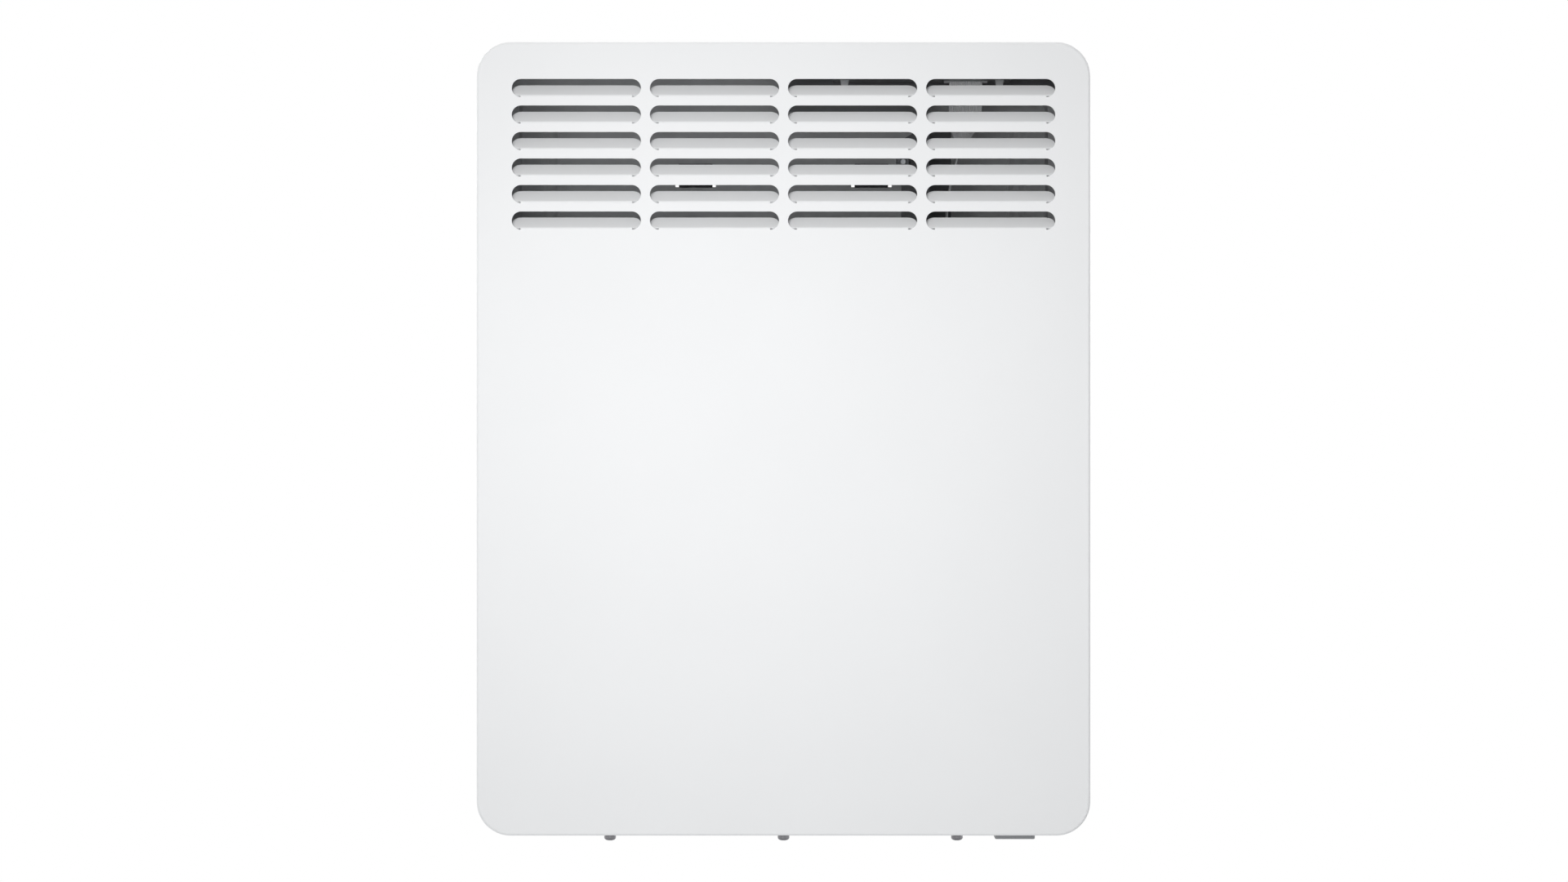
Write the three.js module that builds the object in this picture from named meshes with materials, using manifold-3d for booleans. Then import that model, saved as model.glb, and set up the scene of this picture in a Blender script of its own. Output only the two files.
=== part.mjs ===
// Wall panel convector heater of the 500 W size: a pressed steel casing that hangs on a wall bracket.
// Millimetres, +Z up. The wall is the plane y = 0 and the room lies towards -Y.
// The origin is the centre of the bracket's upper rail, on the wall.
import * as THREE from 'three';
import { mergeVertices } from 'three/addons/utils/BufferGeometryUtils.js';
import Module from 'manifold-3d';

const wasm = await Module();
wasm.setup();

// ---------------------------------------------------------------- driving dimensions
const fitClearance = 0.3;
const seatGap = 0.2;

// Casing.
const casingWidth = 348;
const casingHeight = 450;
const wallToFront = 100;
const hangHeight = 360;
const coverDepth = 66;
const coverSheet = 1;
const casingCornerRadius = 19.3;
const frontEdgeRadius = 1.5;

// Louvres in the front face.
const louvreColumns = 4;
const louvreRows = 6;
const louvreLength = 73.2;
const louvreHeight = 10.3;
const louvrePitchX = 78.3;
const louvrePitchZ = 15.03;
const firstLouvreDrop = 20.9;
const tongueClearance = 0.8;
const tongueTilt = THREE.MathUtils.degToRad(47);

// Air intake slots in the bottom.
const intakeColumns = 3;
const intakeRows = 4;
const intakeWidth = 6;
const intakePitch = 10.5;
const intakeFrontMargin = 9;

// Rear panel: a rim inside the cover and a pan stepped back towards the wall.
const rearSheet = 0.8;
const panBackGap = 18;
const rimRecess = 1.7;
const rimFlangeDepth = 15;
const panSideMargin = 20.3;
const panEndMargin = 22;
const panCornerRadius = 12;
const beadWidth = 11.9;
const beadDepth = 2;
const beadInset = 17.15;
const beadEndMargin = 14;

// Wall bracket and its hooks.
const bracketSheet = 1.5;
const railEndGap = 84;
const railHeight = 25.4;
const railDepth = 16.2;
const lowerRailDrop = 240;
const spineWidth = 50;
const hookEndMargin = 38.5;
const hookWidth = 19.7;
const hookSideGap = 2;
const hookWindowHeight = 10;
const hookWindowDrop = 0.5;
const hookThroat = 2.7;
const hookTipRise = 4;
const lowerWindowExtra = 1;
const wallSlotLength = 12;
const wallSlotWidth = 6;
const wallSlotEndMargin = 15;

// Cover screws and the mains switch below the bottom edge.
const coverScrewSpacing = 100.6;
const coverScrewHeadRadius = 3.4;
const coverScrewRimHeight = 6.4;
const coverScrewDomeHeight = 1.3;
const coverScrewRadius = 1.75;
const coverScrewLength = 9;
const switchRightGap = 41.8;
const switchFrameWidth = 22.7;
const switchFrameLength = 30.4;
const switchFrameHeight = 3.4;
const switchFrameRim = 2.8;
const switchBodyInset = 1.8;
const switchBodyHeight = 27;
const switchTabPitch = 8;
const switchTabLength = 8;
const rockerWidth = 15;
const rockerSwing = THREE.MathUtils.degToRad(8);
const rockerPivotDepth = 8;
const rockerPinRadius = 1.4;
const rockerPinLength = 0.9;

// Heating element.
const elementLeftGap = 26;
const elementRightGap = 26.7;
const elementStandOff = 39.2;
const elementRise = 75;
const hubRadius = 7.5;
const hubBoreRadius = 4.5;
const finLength = 30;
const finThickness = 2;
const finTilt = THREE.MathUtils.degToRad(58);
const ribHeight = 9;
const ribThickness = 1.4;
const ribsPerFin = 3;
const rodRadius = 4.1;
const rodOverhang = 12;
const bootRadius = 5.6;
const bootLength = 14;
const supportSheet = 1.2;
const supportHeight = 48;
const supportOverhang = 16;
const supportFootLength = 14;
const bushWall = 2.4;
const bushLength = 6;
const rivetHeadRadius = 3;
const rivetHeadHeight = 1;

// Electronics carrier: a base plate on the rear panel and a partition that stands forward from it.
const carrierSheet = 1.2;
const carrierRightGap = 92;
const carrierBaseLeft = 13;
const carrierBaseRight = 16;
const carrierTopDrop = 44;
const carrierBottomRise = 40;
const carrierDepth = 64;
const earReach = 3.2;
const earHeight = 26;
const upperEarDrop = 63;
const lowerEarRise = 64;
const earSlope = 0.6;
const earStudInset = 1;
const studRadius = 1.9;
const studLength = 7;
const nutAcrossFlats = 7;
const nutHeight = 3.2;
const nutBoreRadius = 2.2;
const cutoutDrop = 36;
const cutoutRadius = 8;
const cutoutHeight = 9;
const cutoutFlangeHeight = 1.2;
const cutoutFlangeWidth = 12;
const cutoutTabSpacing = 8;
const spadeTabLength = 6;
const spadeTabWidth = 6.3;
const spadeTabThickness = 0.8;
const grommetDrop = 10;
const grommetRadius = 8;
const grommetBoreRadius = 4.6;
const grommetThickness = 4;

// Power board on the partition's right side.
const standoffHeight = 4.6;
const standoffRadius = 2.6;
const nibRadius = 1.3;
const boardThickness = 1.6;
const boardTopDrop = 120;
const boardLength = 120;
const boardWidth = 56;
const boardEdge = 4;
const boardTerminalWays = 5;
const boardTerminalPitch = 8;
const boardTerminalHeight = 13;
const boardTerminalDepth = 12;
const boardTerminalRise = 9;
const boardTerminalScrewRadius = 2.2;
const boardHeaderDrop = 8;
const boardHeaderHeight = 9;
const relaySize = [15.5, 19, 15.5];
const relayDrop = 32;
const relayInset = 12;
const transformerSize = [21, 26, 30];
const transformerCoreSize = [16, 22, 36];
const transformerDrop = 61;
const transformerInset = 13;
const capacitorRadius = 8;
const capacitorHeight = 24;
const capacitorCapRadius = 7.4;
const capacitorCapHeight = 0.6;
const capacitorRise = 26;
const capacitorInset = 16;
const heatSinkSize = [3, 22, 34];
const heatSinkHeight = 24;
const heatSinkFinThickness = 1.6;
const heatSinkFinPitch = 5;
const heatSinkDrop = 62;
const heatSinkInset = 14;

// Control unit in the top.
const controlRightGap = 94.6;
const controlRimGap = 1;
const fasciaLength = 96;
const fasciaWidth = 28;
const fasciaCorner = 3;
const fasciaThickness = 2.4;
const fasciaFlange = 3;
const fasciaMargin = 6;
const fasciaFlangeThickness = 1;
const keyCount = 4;
const keyLength = 9.4;
const keyWidth = 6.4;
const keyPitch = 12.4;
const keyDip = 0.2;
const keyTravel = 0.8;
const keyCapHeight = 4;
const keyFoot = 0.9;
const keyFootHeight = 1;
const switchPlungerRadius = 1.7;
const tactSize = 6;
const tactHeight = 3.5;
const lensLength = 30;
const lensWidth = 14;
const lensThickness = 1;
const lensLedge = 1.4;
const displayHeight = 5;
const controlBoardThickness = 1.6;
const housingHeight = 16.6;
const housingWall = 1.5;
const clipSpacing = 88.8;
const clipWidth = 5;
const clipTipWidth = 3.7;
const clipHeight = 3.4;
const clipThickness = 3;
const clipSetForward = 8;
const postRadius = 2.5;
const postInset = 5;

// Ribbon cable from the control unit to the power board.
const ribbonOffset = 25.4;
const ribbonSetBack = 5;
const ribbonWidth = 19;
const ribbonThickness = 0.9;
const ribbonHeaderLength = 24.9;
const ribbonHeaderWidth = 6;
const ribbonHeaderDrop = 2.6;
const ribbonStations = 24;
const ribbonTwistTopDrop = 33;
const ribbonTwistEndDrop = 64;
const ribbonDriftTopDrop = 25;
const ribbonDriftEndDrop = 106;

// Terminal block, cable gland, earth stud and room sensor at the bottom right.
const inletRightGap = 56;
const glandRise = 60;
const glandRadius = 10;
const glandNeckRadius = 7.4;
const glandBoreRadius = 3.6;
const glandFlange = 2.5;
const terminalRise = 98;
const terminalLength = 34;
const terminalHeight = 18;
const terminalDepth = 16;
const terminalWays = 3;
const terminalScrewRadius = 2.6;
const terminalWireRadius = 2.1;
const earthRightGap = 32;
const earthRise = 64;
const sensorScrewGap = 16.6;
const sensorRadius = 2.5;
const sensorLength = 22;
const sensorHolderWidth = 9;
const sensorHolderDepth = 4.4;
const sensorHolderHeight = 14;

// Internal leads.
const leadRadius = 1.2;
const leadSides = 8;

// ---------------------------------------------------------------- derived places
const frontY = -wallToFront;
const coverBackY = frontY + coverDepth;
const casingBottomZ = -hangHeight;
const casingTopZ = casingBottomZ + casingHeight;
const casingMiddleZ = (casingBottomZ + casingTopZ) / 2;
const casingHalf = casingWidth / 2;

const rimBackY = coverBackY - rimRecess;
const rimFrontY = rimBackY - rearSheet;
const flangeFrontY = rimFrontY - rimFlangeDepth;
const panBackY = -panBackGap;
const panFrontY = panBackY - rearSheet;
const panHalf = casingHalf - panSideMargin;
const panTopZ = casingTopZ - panEndMargin;
const panBottomZ = casingBottomZ + panEndMargin;
const rimInset = coverSheet + fitClearance;
const innerBottomZ = casingBottomZ + rimInset + rearSheet;

const railLength = casingWidth - 2 * railEndGap;
const hookSpacing = railLength - 2 * hookEndMargin;
const wallSlotSpacing = railLength - 2 * wallSlotEndMargin;
const railTopZ = railHeight / 2;
const windowLowZ = railTopZ - hookWindowDrop;
const hookRunTopZ = windowLowZ + hookWindowHeight - fitClearance;
const hookRunBottomZ = hookRunTopZ - bracketSheet;
const hookTipFrontY = panFrontY - hookThroat - bracketSheet;

const coverScrewY = (flangeFrontY + rimFrontY) / 2;
const switchX = casingHalf - switchRightGap;
const switchY = frontY + coverDepth / 2;
const pocketHalfLength = switchFrameLength / 2 - switchFrameRim;
const bodyHalfLength = switchFrameLength / 2 - switchBodyInset;
const bodyHalfWidth = switchFrameWidth / 2 - switchBodyInset;
const rockerFaceZ = casingBottomZ - seatGap - switchFrameHeight;
const rockerHalfLength = pocketHalfLength - 1;

const elementY = panFrontY - elementStandOff;
const elementZ = casingBottomZ + elementRise;
const carrierWallX = casingHalf - carrierRightGap;
const carrierFlangeX = carrierWallX - carrierBaseLeft;
const carrierTopZ = casingTopZ - carrierTopDrop;
const carrierBottomZ = casingBottomZ + carrierBottomRise;
const upperEarZ = casingTopZ - upperEarDrop;
const lowerEarZ = casingBottomZ + lowerEarRise;
const carrierBackY = panFrontY - seatGap;
const carrierFrontY = carrierBackY - carrierDepth;
const carrierRightX = carrierWallX + carrierSheet;

const elementLeftX = -panHalf + elementLeftGap;
const elementRightX = carrierFlangeX - elementRightGap;
const elementLength = elementRightX - elementLeftX;

const boardTopZ = casingTopZ - boardTopDrop;
const boardBottomZ = boardTopZ - boardLength;
const boardLeftX = carrierRightX + standoffHeight + seatGap;
const boardRightX = boardLeftX + boardThickness;
const boardBackY = carrierBackY - boardEdge;
const boardFrontY = boardBackY - boardWidth;
const boardMiddleY = (boardBackY + boardFrontY) / 2;
const boardHeaderTopZ = boardTopZ - boardHeaderDrop;
const partX = boardRightX + seatGap;
const grommetZ = boardBottomZ - grommetDrop;
const cutoutZ = grommetZ - cutoutDrop;

const controlX = casingHalf - controlRightGap;
const controlY = flangeFrontY - controlRimGap - fasciaWidth / 2 - fasciaFlange;
const fasciaUndersideZ = casingTopZ - fasciaThickness;
const flangeTopZ = casingTopZ - coverSheet - seatGap;
const flangeBottomZ = flangeTopZ - fasciaFlangeThickness;
const fasciaBottomZ = Math.min(fasciaUndersideZ, flangeBottomZ);
const keyTopZ = casingTopZ - keyDip;
const keyBottomZ = keyTopZ - keyCapHeight;
const tactTopZ = keyBottomZ - keyTravel - fitClearance;
const controlBoardTopZ = tactTopZ - tactHeight - seatGap;
const controlBoardBottomZ = controlBoardTopZ - controlBoardThickness;
const housingTopZ = fasciaBottomZ - seatGap;
const housingBottomZ = housingTopZ - housingHeight;
const housingHalfLength = fasciaLength / 2 + fasciaFlange;
const housingHalfWidth = fasciaWidth / 2 + fasciaFlange;
const keyRowX = controlX + fasciaLength / 2 - fasciaMargin - keyPitch * keyCount;
const displayX = controlX - fasciaLength / 2 + fasciaMargin + lensLength / 2;
const ribbonX = controlX + ribbonOffset;
const ribbonY = controlY + ribbonSetBack;
const ribbonEndX = partX + 3.8;

const inletX = casingHalf - inletRightGap;
const glandZ = casingBottomZ + glandRise;
const terminalZ = casingBottomZ + terminalRise;
const earthX = casingHalf - earthRightGap;
const earthZ = casingBottomZ + earthRise;
const sensorX = coverScrewSpacing - sensorScrewGap;

// ---------------------------------------------------------------- finishes
function finish(color, roughness, metalness) {
  return new THREE.MeshStandardMaterial({ color, roughness, metalness, flatShading: true });
}

const whitePowderCoat = finish('#f2f3f4', 0.55, 0);
const greySheet = finish('#9c9d9f', 0.5, 0.3);
const blackBracketCoat = finish('#1d1e20', 0.55, 0.1);
const castAluminium = finish('#b6b8ba', 0.5, 0.9);
const stainlessSteel = finish('#8f8e8b', 0.35, 0.95);
const darkScrewSteel = finish('#4b4c4e', 0.4, 0.9);
const zincSteel = finish('#b9bcbe', 0.35, 0.95);
const blackSteel = finish('#2b2c2e', 0.6, 0.2);
const greyPlastic = finish('#b4b6b9', 0.5, 0);
const whitePlastic = finish('#e8e9ea', 0.45, 0);
const blackPlastic = finish('#1e1f21', 0.5, 0);
const circuitBoard = finish('#1f5a35', 0.45, 0);
const clearPlastic = finish('#26292d', 0.1, 0);
const siliconeRubber = finish('#b0552f', 0.7, 0);
const brownLead = finish('#6a4128', 0.6, 0);
const blueLead = finish('#2d5f9c', 0.6, 0);
const greenLead = finish('#5d8a3a', 0.6, 0);
const greyLead = finish('#9a9c9e', 0.6, 0);

// ---------------------------------------------------------------- solids and cuts
function solid(geometry) {
  const bare = geometry.clone();
  bare.deleteAttribute('normal');
  bare.deleteAttribute('uv');
  const merged = mergeVertices(bare, 1e-4);
  const corners = merged.index.array;
  const triangles = [];
  for (let i = 0; i < corners.length; i += 3) {
    const [a, b, c] = corners.subarray(i, i + 3);
    if (a !== b && b !== c && c !== a) triangles.push(a, b, c);
  }
  const vertProperties = Float32Array.from(merged.attributes.position.array);
  const triVerts = Uint32Array.from(triangles);
  return new wasm.Manifold(new wasm.Mesh({ numProp: 3, vertProperties, triVerts }));
}

function geometryOf(body) {
  const mesh = body.getMesh();
  const geometry = new THREE.BufferGeometry();
  geometry.setAttribute('position', new THREE.BufferAttribute(mesh.vertProperties, 3));
  geometry.setIndex(new THREE.BufferAttribute(mesh.triVerts, 1));
  geometry.computeVertexNormals();
  return geometry;
}

function joined(bodies) {
  return bodies.reduce((sum, body) => sum.add(body));
}

function blockGeometry([x0, x1], [y0, y1], [z0, z1]) {
  const geometry = new THREE.BoxGeometry(x1 - x0, y1 - y0, z1 - z0);
  return geometry.translate((x0 + x1) / 2, (y0 + y1) / 2, (z0 + z1) / 2);
}

function block(spanX, spanY, spanZ) {
  return solid(blockGeometry(spanX, spanY, spanZ));
}

function around(centre, width) {
  return [centre - width / 2, centre + width / 2];
}

// A round bar from a start point along one axis.
function bar(axis, radius, [x, y, z], length, sides = 16) {
  const geometry = new THREE.CylinderGeometry(radius, radius, length, sides);
  geometry.translate(0, length / 2, 0);
  if (axis === 'x') geometry.rotateZ(-Math.PI / 2);
  if (axis === 'z') geometry.rotateX(Math.PI / 2);
  return solid(geometry.translate(x, y, z));
}

// A prism of a drawn shape: drawn in (y, z) for axis x, in (x, z) for axis y, in (x, y) for axis z.
function prism(axis, shape, low, high, curveSegments = 2) {
  const options = { depth: high - low, bevelEnabled: false, curveSegments };
  const geometry = new THREE.ExtrudeGeometry(shape, options);
  if (axis === 'x') {
    const turn = new THREE.Matrix4().makeBasis(
      new THREE.Vector3(0, 1, 0), new THREE.Vector3(0, 0, 1), new THREE.Vector3(1, 0, 0));
    geometry.applyMatrix4(turn).translate(low, 0, 0);
  }
  if (axis === 'y') geometry.rotateX(Math.PI / 2).translate(0, high, 0);
  if (axis === 'z') geometry.translate(0, 0, low);
  return solid(geometry);
}

function polygon(points) {
  return new THREE.Shape(points.map(([u, v]) => new THREE.Vector2(u, v)));
}

function roundedRectangle(width, height, radius, centreU = 0, centreV = 0) {
  const [left, right] = around(centreU, width);
  const [low, high] = around(centreV, height);
  const shape = new THREE.Shape();
  shape.moveTo(left + radius, low);
  shape.lineTo(right - radius, low);
  shape.absarc(right - radius, low + radius, radius, -Math.PI / 2, 0);
  shape.lineTo(right, high - radius);
  shape.absarc(right - radius, high - radius, radius, 0, Math.PI / 2);
  shape.lineTo(left + radius, high);
  shape.absarc(left + radius, high - radius, radius, Math.PI / 2, Math.PI);
  shape.lineTo(left, low + radius);
  shape.absarc(left + radius, low + radius, radius, Math.PI, Math.PI * 1.5);
  return shape;
}

function stadium(length, height, centreU = 0, centreV = 0) {
  const radius = height / 2;
  const reach = length / 2 - radius;
  const shape = new THREE.Shape();
  shape.moveTo(centreU - reach, centreV - radius);
  shape.lineTo(centreU + reach, centreV - radius);
  shape.absarc(centreU + reach, centreV, radius, -Math.PI / 2, Math.PI / 2);
  shape.lineTo(centreU - reach, centreV + radius);
  shape.absarc(centreU - reach, centreV, radius, Math.PI / 2, Math.PI * 1.5);
  return shape;
}

// A turned piece about the local Z axis. The profile closes on itself or on the axis.
function turned(profile, sides = 16) {
  const points = profile.map(([radius, height]) => new THREE.Vector2(radius, height));
  return new THREE.LatheGeometry(points, sides).rotateX(Math.PI / 2);
}

function place(group, name, geometry, material, [x, y, z] = [0, 0, 0]) {
  const mesh = new THREE.Mesh(geometry, material);
  mesh.name = name;
  mesh.position.set(x, y, z);
  group.add(mesh);
  return mesh;
}

// ---------------------------------------------------------------- front cover
// A rounded block whose front edge is rolled over by edgeRadius, open-ended past the cover's back.
function rolledBlock(inset, edgeRadius) {
  const width = casingWidth - 2 * (inset + edgeRadius);
  const height = casingHeight - 2 * (inset + edgeRadius);
  const radius = casingCornerRadius - inset - edgeRadius;
  const shape = roundedRectangle(width, height, radius, 0, casingMiddleZ);
  const geometry = new THREE.ExtrudeGeometry(shape, {
    depth: coverDepth,
    bevelEnabled: true,
    bevelSize: edgeRadius,
    bevelThickness: edgeRadius,
    bevelSegments: 2,
    curveSegments: 4,
  });
  return solid(geometry.rotateX(Math.PI / 2).translate(0, frontY + inset + coverDepth + edgeRadius, 0));
}

// The slot's own sheet, still joined along the straight lower edge and bent inwards.
function louvreTongue() {
  const slotRadius = louvreHeight / 2;
  const radius = slotRadius - tongueClearance;
  const straight = louvreLength / 2 - slotRadius;
  const root = coverSheet / 2;
  const shape = new THREE.Shape();
  shape.moveTo(-straight, -root);
  shape.lineTo(straight, -root);
  shape.lineTo(straight, tongueClearance);
  shape.absarc(straight, slotRadius, radius, -Math.PI / 2, Math.PI / 2);
  shape.absarc(-straight, slotRadius, radius, Math.PI / 2, Math.PI * 1.5);
  shape.lineTo(-straight, -root);
  const options = { depth: coverSheet, bevelEnabled: false, curveSegments: 3 };
  const geometry = new THREE.ExtrudeGeometry(shape, options).translate(0, 0, -coverSheet / 2);
  geometry.rotateX(Math.PI / 2 - tongueTilt);
  const inFront = block(
    [-louvreLength, louvreLength], [-louvreHeight, -coverSheet / 2], [-louvreHeight, louvreHeight]);
  return solid(geometry).subtract(inFront);
}

function louvreCentres() {
  const firstX = -louvrePitchX * (louvreColumns - 1) / 2;
  const firstZ = casingTopZ - firstLouvreDrop - louvreHeight / 2;
  const centres = [];
  for (let row = 0; row < louvreRows; row += 1) {
    for (let column = 0; column < louvreColumns; column += 1) {
      centres.push([firstX + column * louvrePitchX, firstZ - row * louvrePitchZ]);
    }
  }
  return centres;
}

function louvreCuts() {
  return louvreCentres().map(([x, z]) => (
    prism('y', stadium(louvreLength, louvreHeight, x, z), frontY - 1, frontY + coverSheet + 1, 3)));
}

function louvreTongues() {
  const tongue = louvreTongue();
  return louvreCentres().map(([x, z]) => (
    tongue.translate([x, frontY + coverSheet / 2, z - louvreHeight / 2])));
}

function intakeCuts() {
  const firstX = -louvrePitchX * (louvreColumns - 1) / 2;
  const firstY = frontY + intakeFrontMargin;
  const cuts = [];
  for (let column = 0; column < intakeColumns; column += 1) {
    for (let row = 0; row < intakeRows; row += 1) {
      const [x, y] = [firstX + column * louvrePitchX, firstY + row * intakePitch];
      const slot = stadium(louvreLength, intakeWidth, x, y);
      cuts.push(prism('z', slot, casingBottomZ - 1, casingBottomZ + coverSheet + 1));
    }
  }
  return cuts;
}

function coverScrewXs() {
  return [-coverScrewSpacing, 0, coverScrewSpacing];
}

function frontCover() {
  const tray = rolledBlock(0, frontEdgeRadius).subtract(rolledBlock(coverSheet, frontEdgeRadius / 3));
  const behind = block([-casingWidth, casingWidth], [coverBackY, 0], [-casingHeight, casingHeight]);
  const fasciaCut = roundedRectangle(fasciaLength, fasciaWidth, fasciaCorner, controlX, controlY);
  const openings = [
    behind,
    ...louvreCuts(),
    ...intakeCuts(),
    prism('z', fasciaCut, casingTopZ - coverSheet - 1, casingTopZ + 1),
    block(
      around(switchX, 2 * bodyHalfWidth + 2 * fitClearance),
      around(switchY, 2 * bodyHalfLength + 2 * fitClearance),
      [casingBottomZ - 1, casingBottomZ + coverSheet + 1]),
    ...coverScrewXs().map((x) => (
      bar('z', coverScrewRadius + fitClearance, [x, coverScrewY, casingBottomZ - 1], coverSheet + 2, 12))),
  ];
  return tray.subtract(joined(openings)).add(joined(louvreTongues()));
}

// ---------------------------------------------------------------- rear panel
function hookXs() {
  return [-hookSpacing / 2, hookSpacing / 2];
}

function hookWindow(x, railZ, extra) {
  const width = hookWidth + 2 * hookSideGap;
  const height = hookWindowHeight + extra;
  const centreZ = railZ + windowLowZ + height / 2;
  return prism('y', roundedRectangle(width, height, 0.75, x, centreZ), panFrontY - 1, panBackY + 1, 1);
}

function bead(side, inset, reach) {
  const length = panTopZ - panBottomZ - 2 * beadEndMargin - 2 * inset;
  const width = beadWidth - 2 * inset;
  const shape = roundedRectangle(
    width, length, width / 2 - 0.01, side * (panHalf - beadInset), casingMiddleZ);
  return prism('y', shape, panFrontY - 0.01, reach);
}

function rearPanelSheet() {
  const rimWidth = casingWidth - 2 * rimInset;
  const rimHeight = casingHeight - 2 * rimInset;
  const rimRadius = casingCornerRadius - rimInset;
  const rimShape = (inset) => roundedRectangle(
    rimWidth - 2 * inset, rimHeight - 2 * inset, rimRadius - inset, 0, casingMiddleZ);
  const panShape = (inset) => roundedRectangle(
    2 * (panHalf + inset), panTopZ - panBottomZ + 2 * inset, panCornerRadius + inset, 0, casingMiddleZ);
  const beadBackY = panBackY + beadDepth;
  return prism('y', rimShape(0), flangeFrontY, rimBackY, 4)
    .subtract(prism('y', rimShape(rearSheet), flangeFrontY - 1, rimFrontY, 4))
    .add(prism('y', panShape(rearSheet), rimFrontY, panBackY, 3))
    .subtract(prism('y', panShape(0), flangeFrontY, panFrontY, 3))
    .add(joined([-1, 1].map((side) => bead(side, 0, beadBackY))))
    .subtract(joined([-1, 1].map((side) => bead(side, rearSheet, beadBackY - rearSheet))));
}

function rearPanelCuts() {
  return [
    ...hookXs().map((x) => hookWindow(x, 0, 0)),
    ...hookXs().map((x) => hookWindow(x, -lowerRailDrop, lowerWindowExtra)),
    bar('y', glandNeckRadius + fitClearance, [inletX, panFrontY - 1, glandZ], rearSheet + 2),
    ...coverScrewXs().map((x) => (
      bar('z', coverScrewRadius + fitClearance, [x, coverScrewY, casingBottomZ], rimInset + 2, 12))),
  ];
}

function weldedStuds() {
  const places = [
    [carrierFlangeX + earStudInset, upperEarZ],
    [carrierFlangeX + earStudInset, lowerEarZ],
    [earthX, earthZ],
  ];
  return places.map(([x, z]) => (
    bar('y', studRadius, [x, panFrontY - studLength, z], studLength + rearSheet / 2, 10)));
}

function rearPanel() {
  return rearPanelSheet().subtract(joined(rearPanelCuts())).add(joined(weldedStuds()));
}

// ---------------------------------------------------------------- wall bracket
function bracketHook(x, railZ) {
  const width = around(x, hookWidth);
  const upright = block(
    width, [-railDepth, -railDepth + bracketSheet], [railZ + railTopZ - bracketSheet, railZ + hookRunTopZ]);
  const run = block(
    width, [hookTipFrontY, -railDepth + bracketSheet], [railZ + hookRunBottomZ, railZ + hookRunTopZ]);
  const tip = block(
    width, [hookTipFrontY, hookTipFrontY + bracketSheet],
    [railZ + hookRunBottomZ, railZ + hookRunTopZ + hookTipRise]);
  return joined([upright, run, tip]);
}

function bracketRail(railZ) {
  const span = around(0, railLength);
  const plate = block(span, [-bracketSheet, 0], around(railZ, railHeight));
  const shelf = block(span, [-railDepth, 0], [railZ + railTopZ - bracketSheet, railZ + railTopZ]);
  const lip = block(span, [-railDepth / 2, 0], [railZ - railTopZ, railZ - railTopZ + bracketSheet]);
  return joined([plate, shelf, lip, ...hookXs().map((x) => bracketHook(x, railZ))]);
}

function wallBracket() {
  const spine = block(around(0, spineWidth), [-bracketSheet, 0], [-lowerRailDrop, 0]);
  const slot = (x, z) => prism('y', stadium(wallSlotLength, wallSlotWidth, x, z), -bracketSheet - 1, 1);
  const slots = [-1, 1].flatMap((side) => (
    [0, -lowerRailDrop].map((railZ) => slot(side * wallSlotSpacing / 2, railZ))));
  return joined([bracketRail(0), bracketRail(-lowerRailDrop), spine]).subtract(joined(slots));
}

// ---------------------------------------------------------------- cover screws and mains switch
function coverScrew() {
  const rim = coverScrewRimHeight;
  const crown = rim + coverScrewDomeHeight;
  return turned([
    [0, -crown],
    [coverScrewHeadRadius * 0.6, -crown + coverScrewDomeHeight * 0.25],
    [coverScrewHeadRadius, -rim],
    [coverScrewHeadRadius, 0],
    [coverScrewRadius, 0],
    [coverScrewRadius, coverScrewLength - 1],
    [0, coverScrewLength],
  ], 12);
}

function switchBody() {
  const frameTopZ = casingBottomZ - seatGap;
  const frame = block(
    around(switchX, switchFrameWidth), around(switchY, switchFrameLength), [rockerFaceZ, frameTopZ]);
  const body = block(
    around(switchX, 2 * bodyHalfWidth), around(switchY, 2 * bodyHalfLength),
    [rockerFaceZ, rockerFaceZ + switchBodyHeight]);
  const pocket = block(
    around(switchX, rockerWidth + 2 * fitClearance), around(switchY, 2 * pocketHalfLength),
    [rockerFaceZ - 1, rockerFaceZ + 2 * rockerPivotDepth]);
  const pinHoleLength = rockerWidth + 2 * (fitClearance + rockerPinLength + fitClearance);
  const pinHole = bar(
    'x', rockerPinRadius + fitClearance,
    [switchX - pinHoleLength / 2, switchY, rockerFaceZ + rockerPivotDepth], pinHoleLength);
  const tabs = [-1, 0, 1].map((step) => block(
    around(switchX, spadeTabWidth), around(switchY + step * switchTabPitch, spadeTabThickness),
    [rockerFaceZ + switchBodyHeight - 1, rockerFaceZ + switchBodyHeight + switchTabLength]));
  return joined([frame, body, ...tabs]).subtract(pocket).subtract(pinHole);
}

// The rocker about its pivot, tipped to one end of its swing. Its face dips by the swing angle.
function rocker() {
  const half = rockerHalfLength;
  const rise = half * Math.tan(rockerSwing);
  const raised = half * Math.sin(rockerSwing) + seatGap;
  const lip = -rockerPivotDepth + raised;
  const shape = polygon([
    [-half, lip], [0, lip + rise], [half, lip], [half, lip + 4.5],
    [half * 0.45, rockerPivotDepth * 0.7], [-half * 0.45, rockerPivotDepth * 0.7], [-half, lip + 4.5],
  ]);
  const pinLength = rockerWidth + 2 * rockerPinLength;
  const body = prism('x', shape, -rockerWidth / 2, rockerWidth / 2)
    .add(bar('x', rockerPinRadius, [-pinLength / 2, 0, 0], pinLength, 12));
  return geometryOf(body).rotateX(rockerSwing);
}

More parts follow.
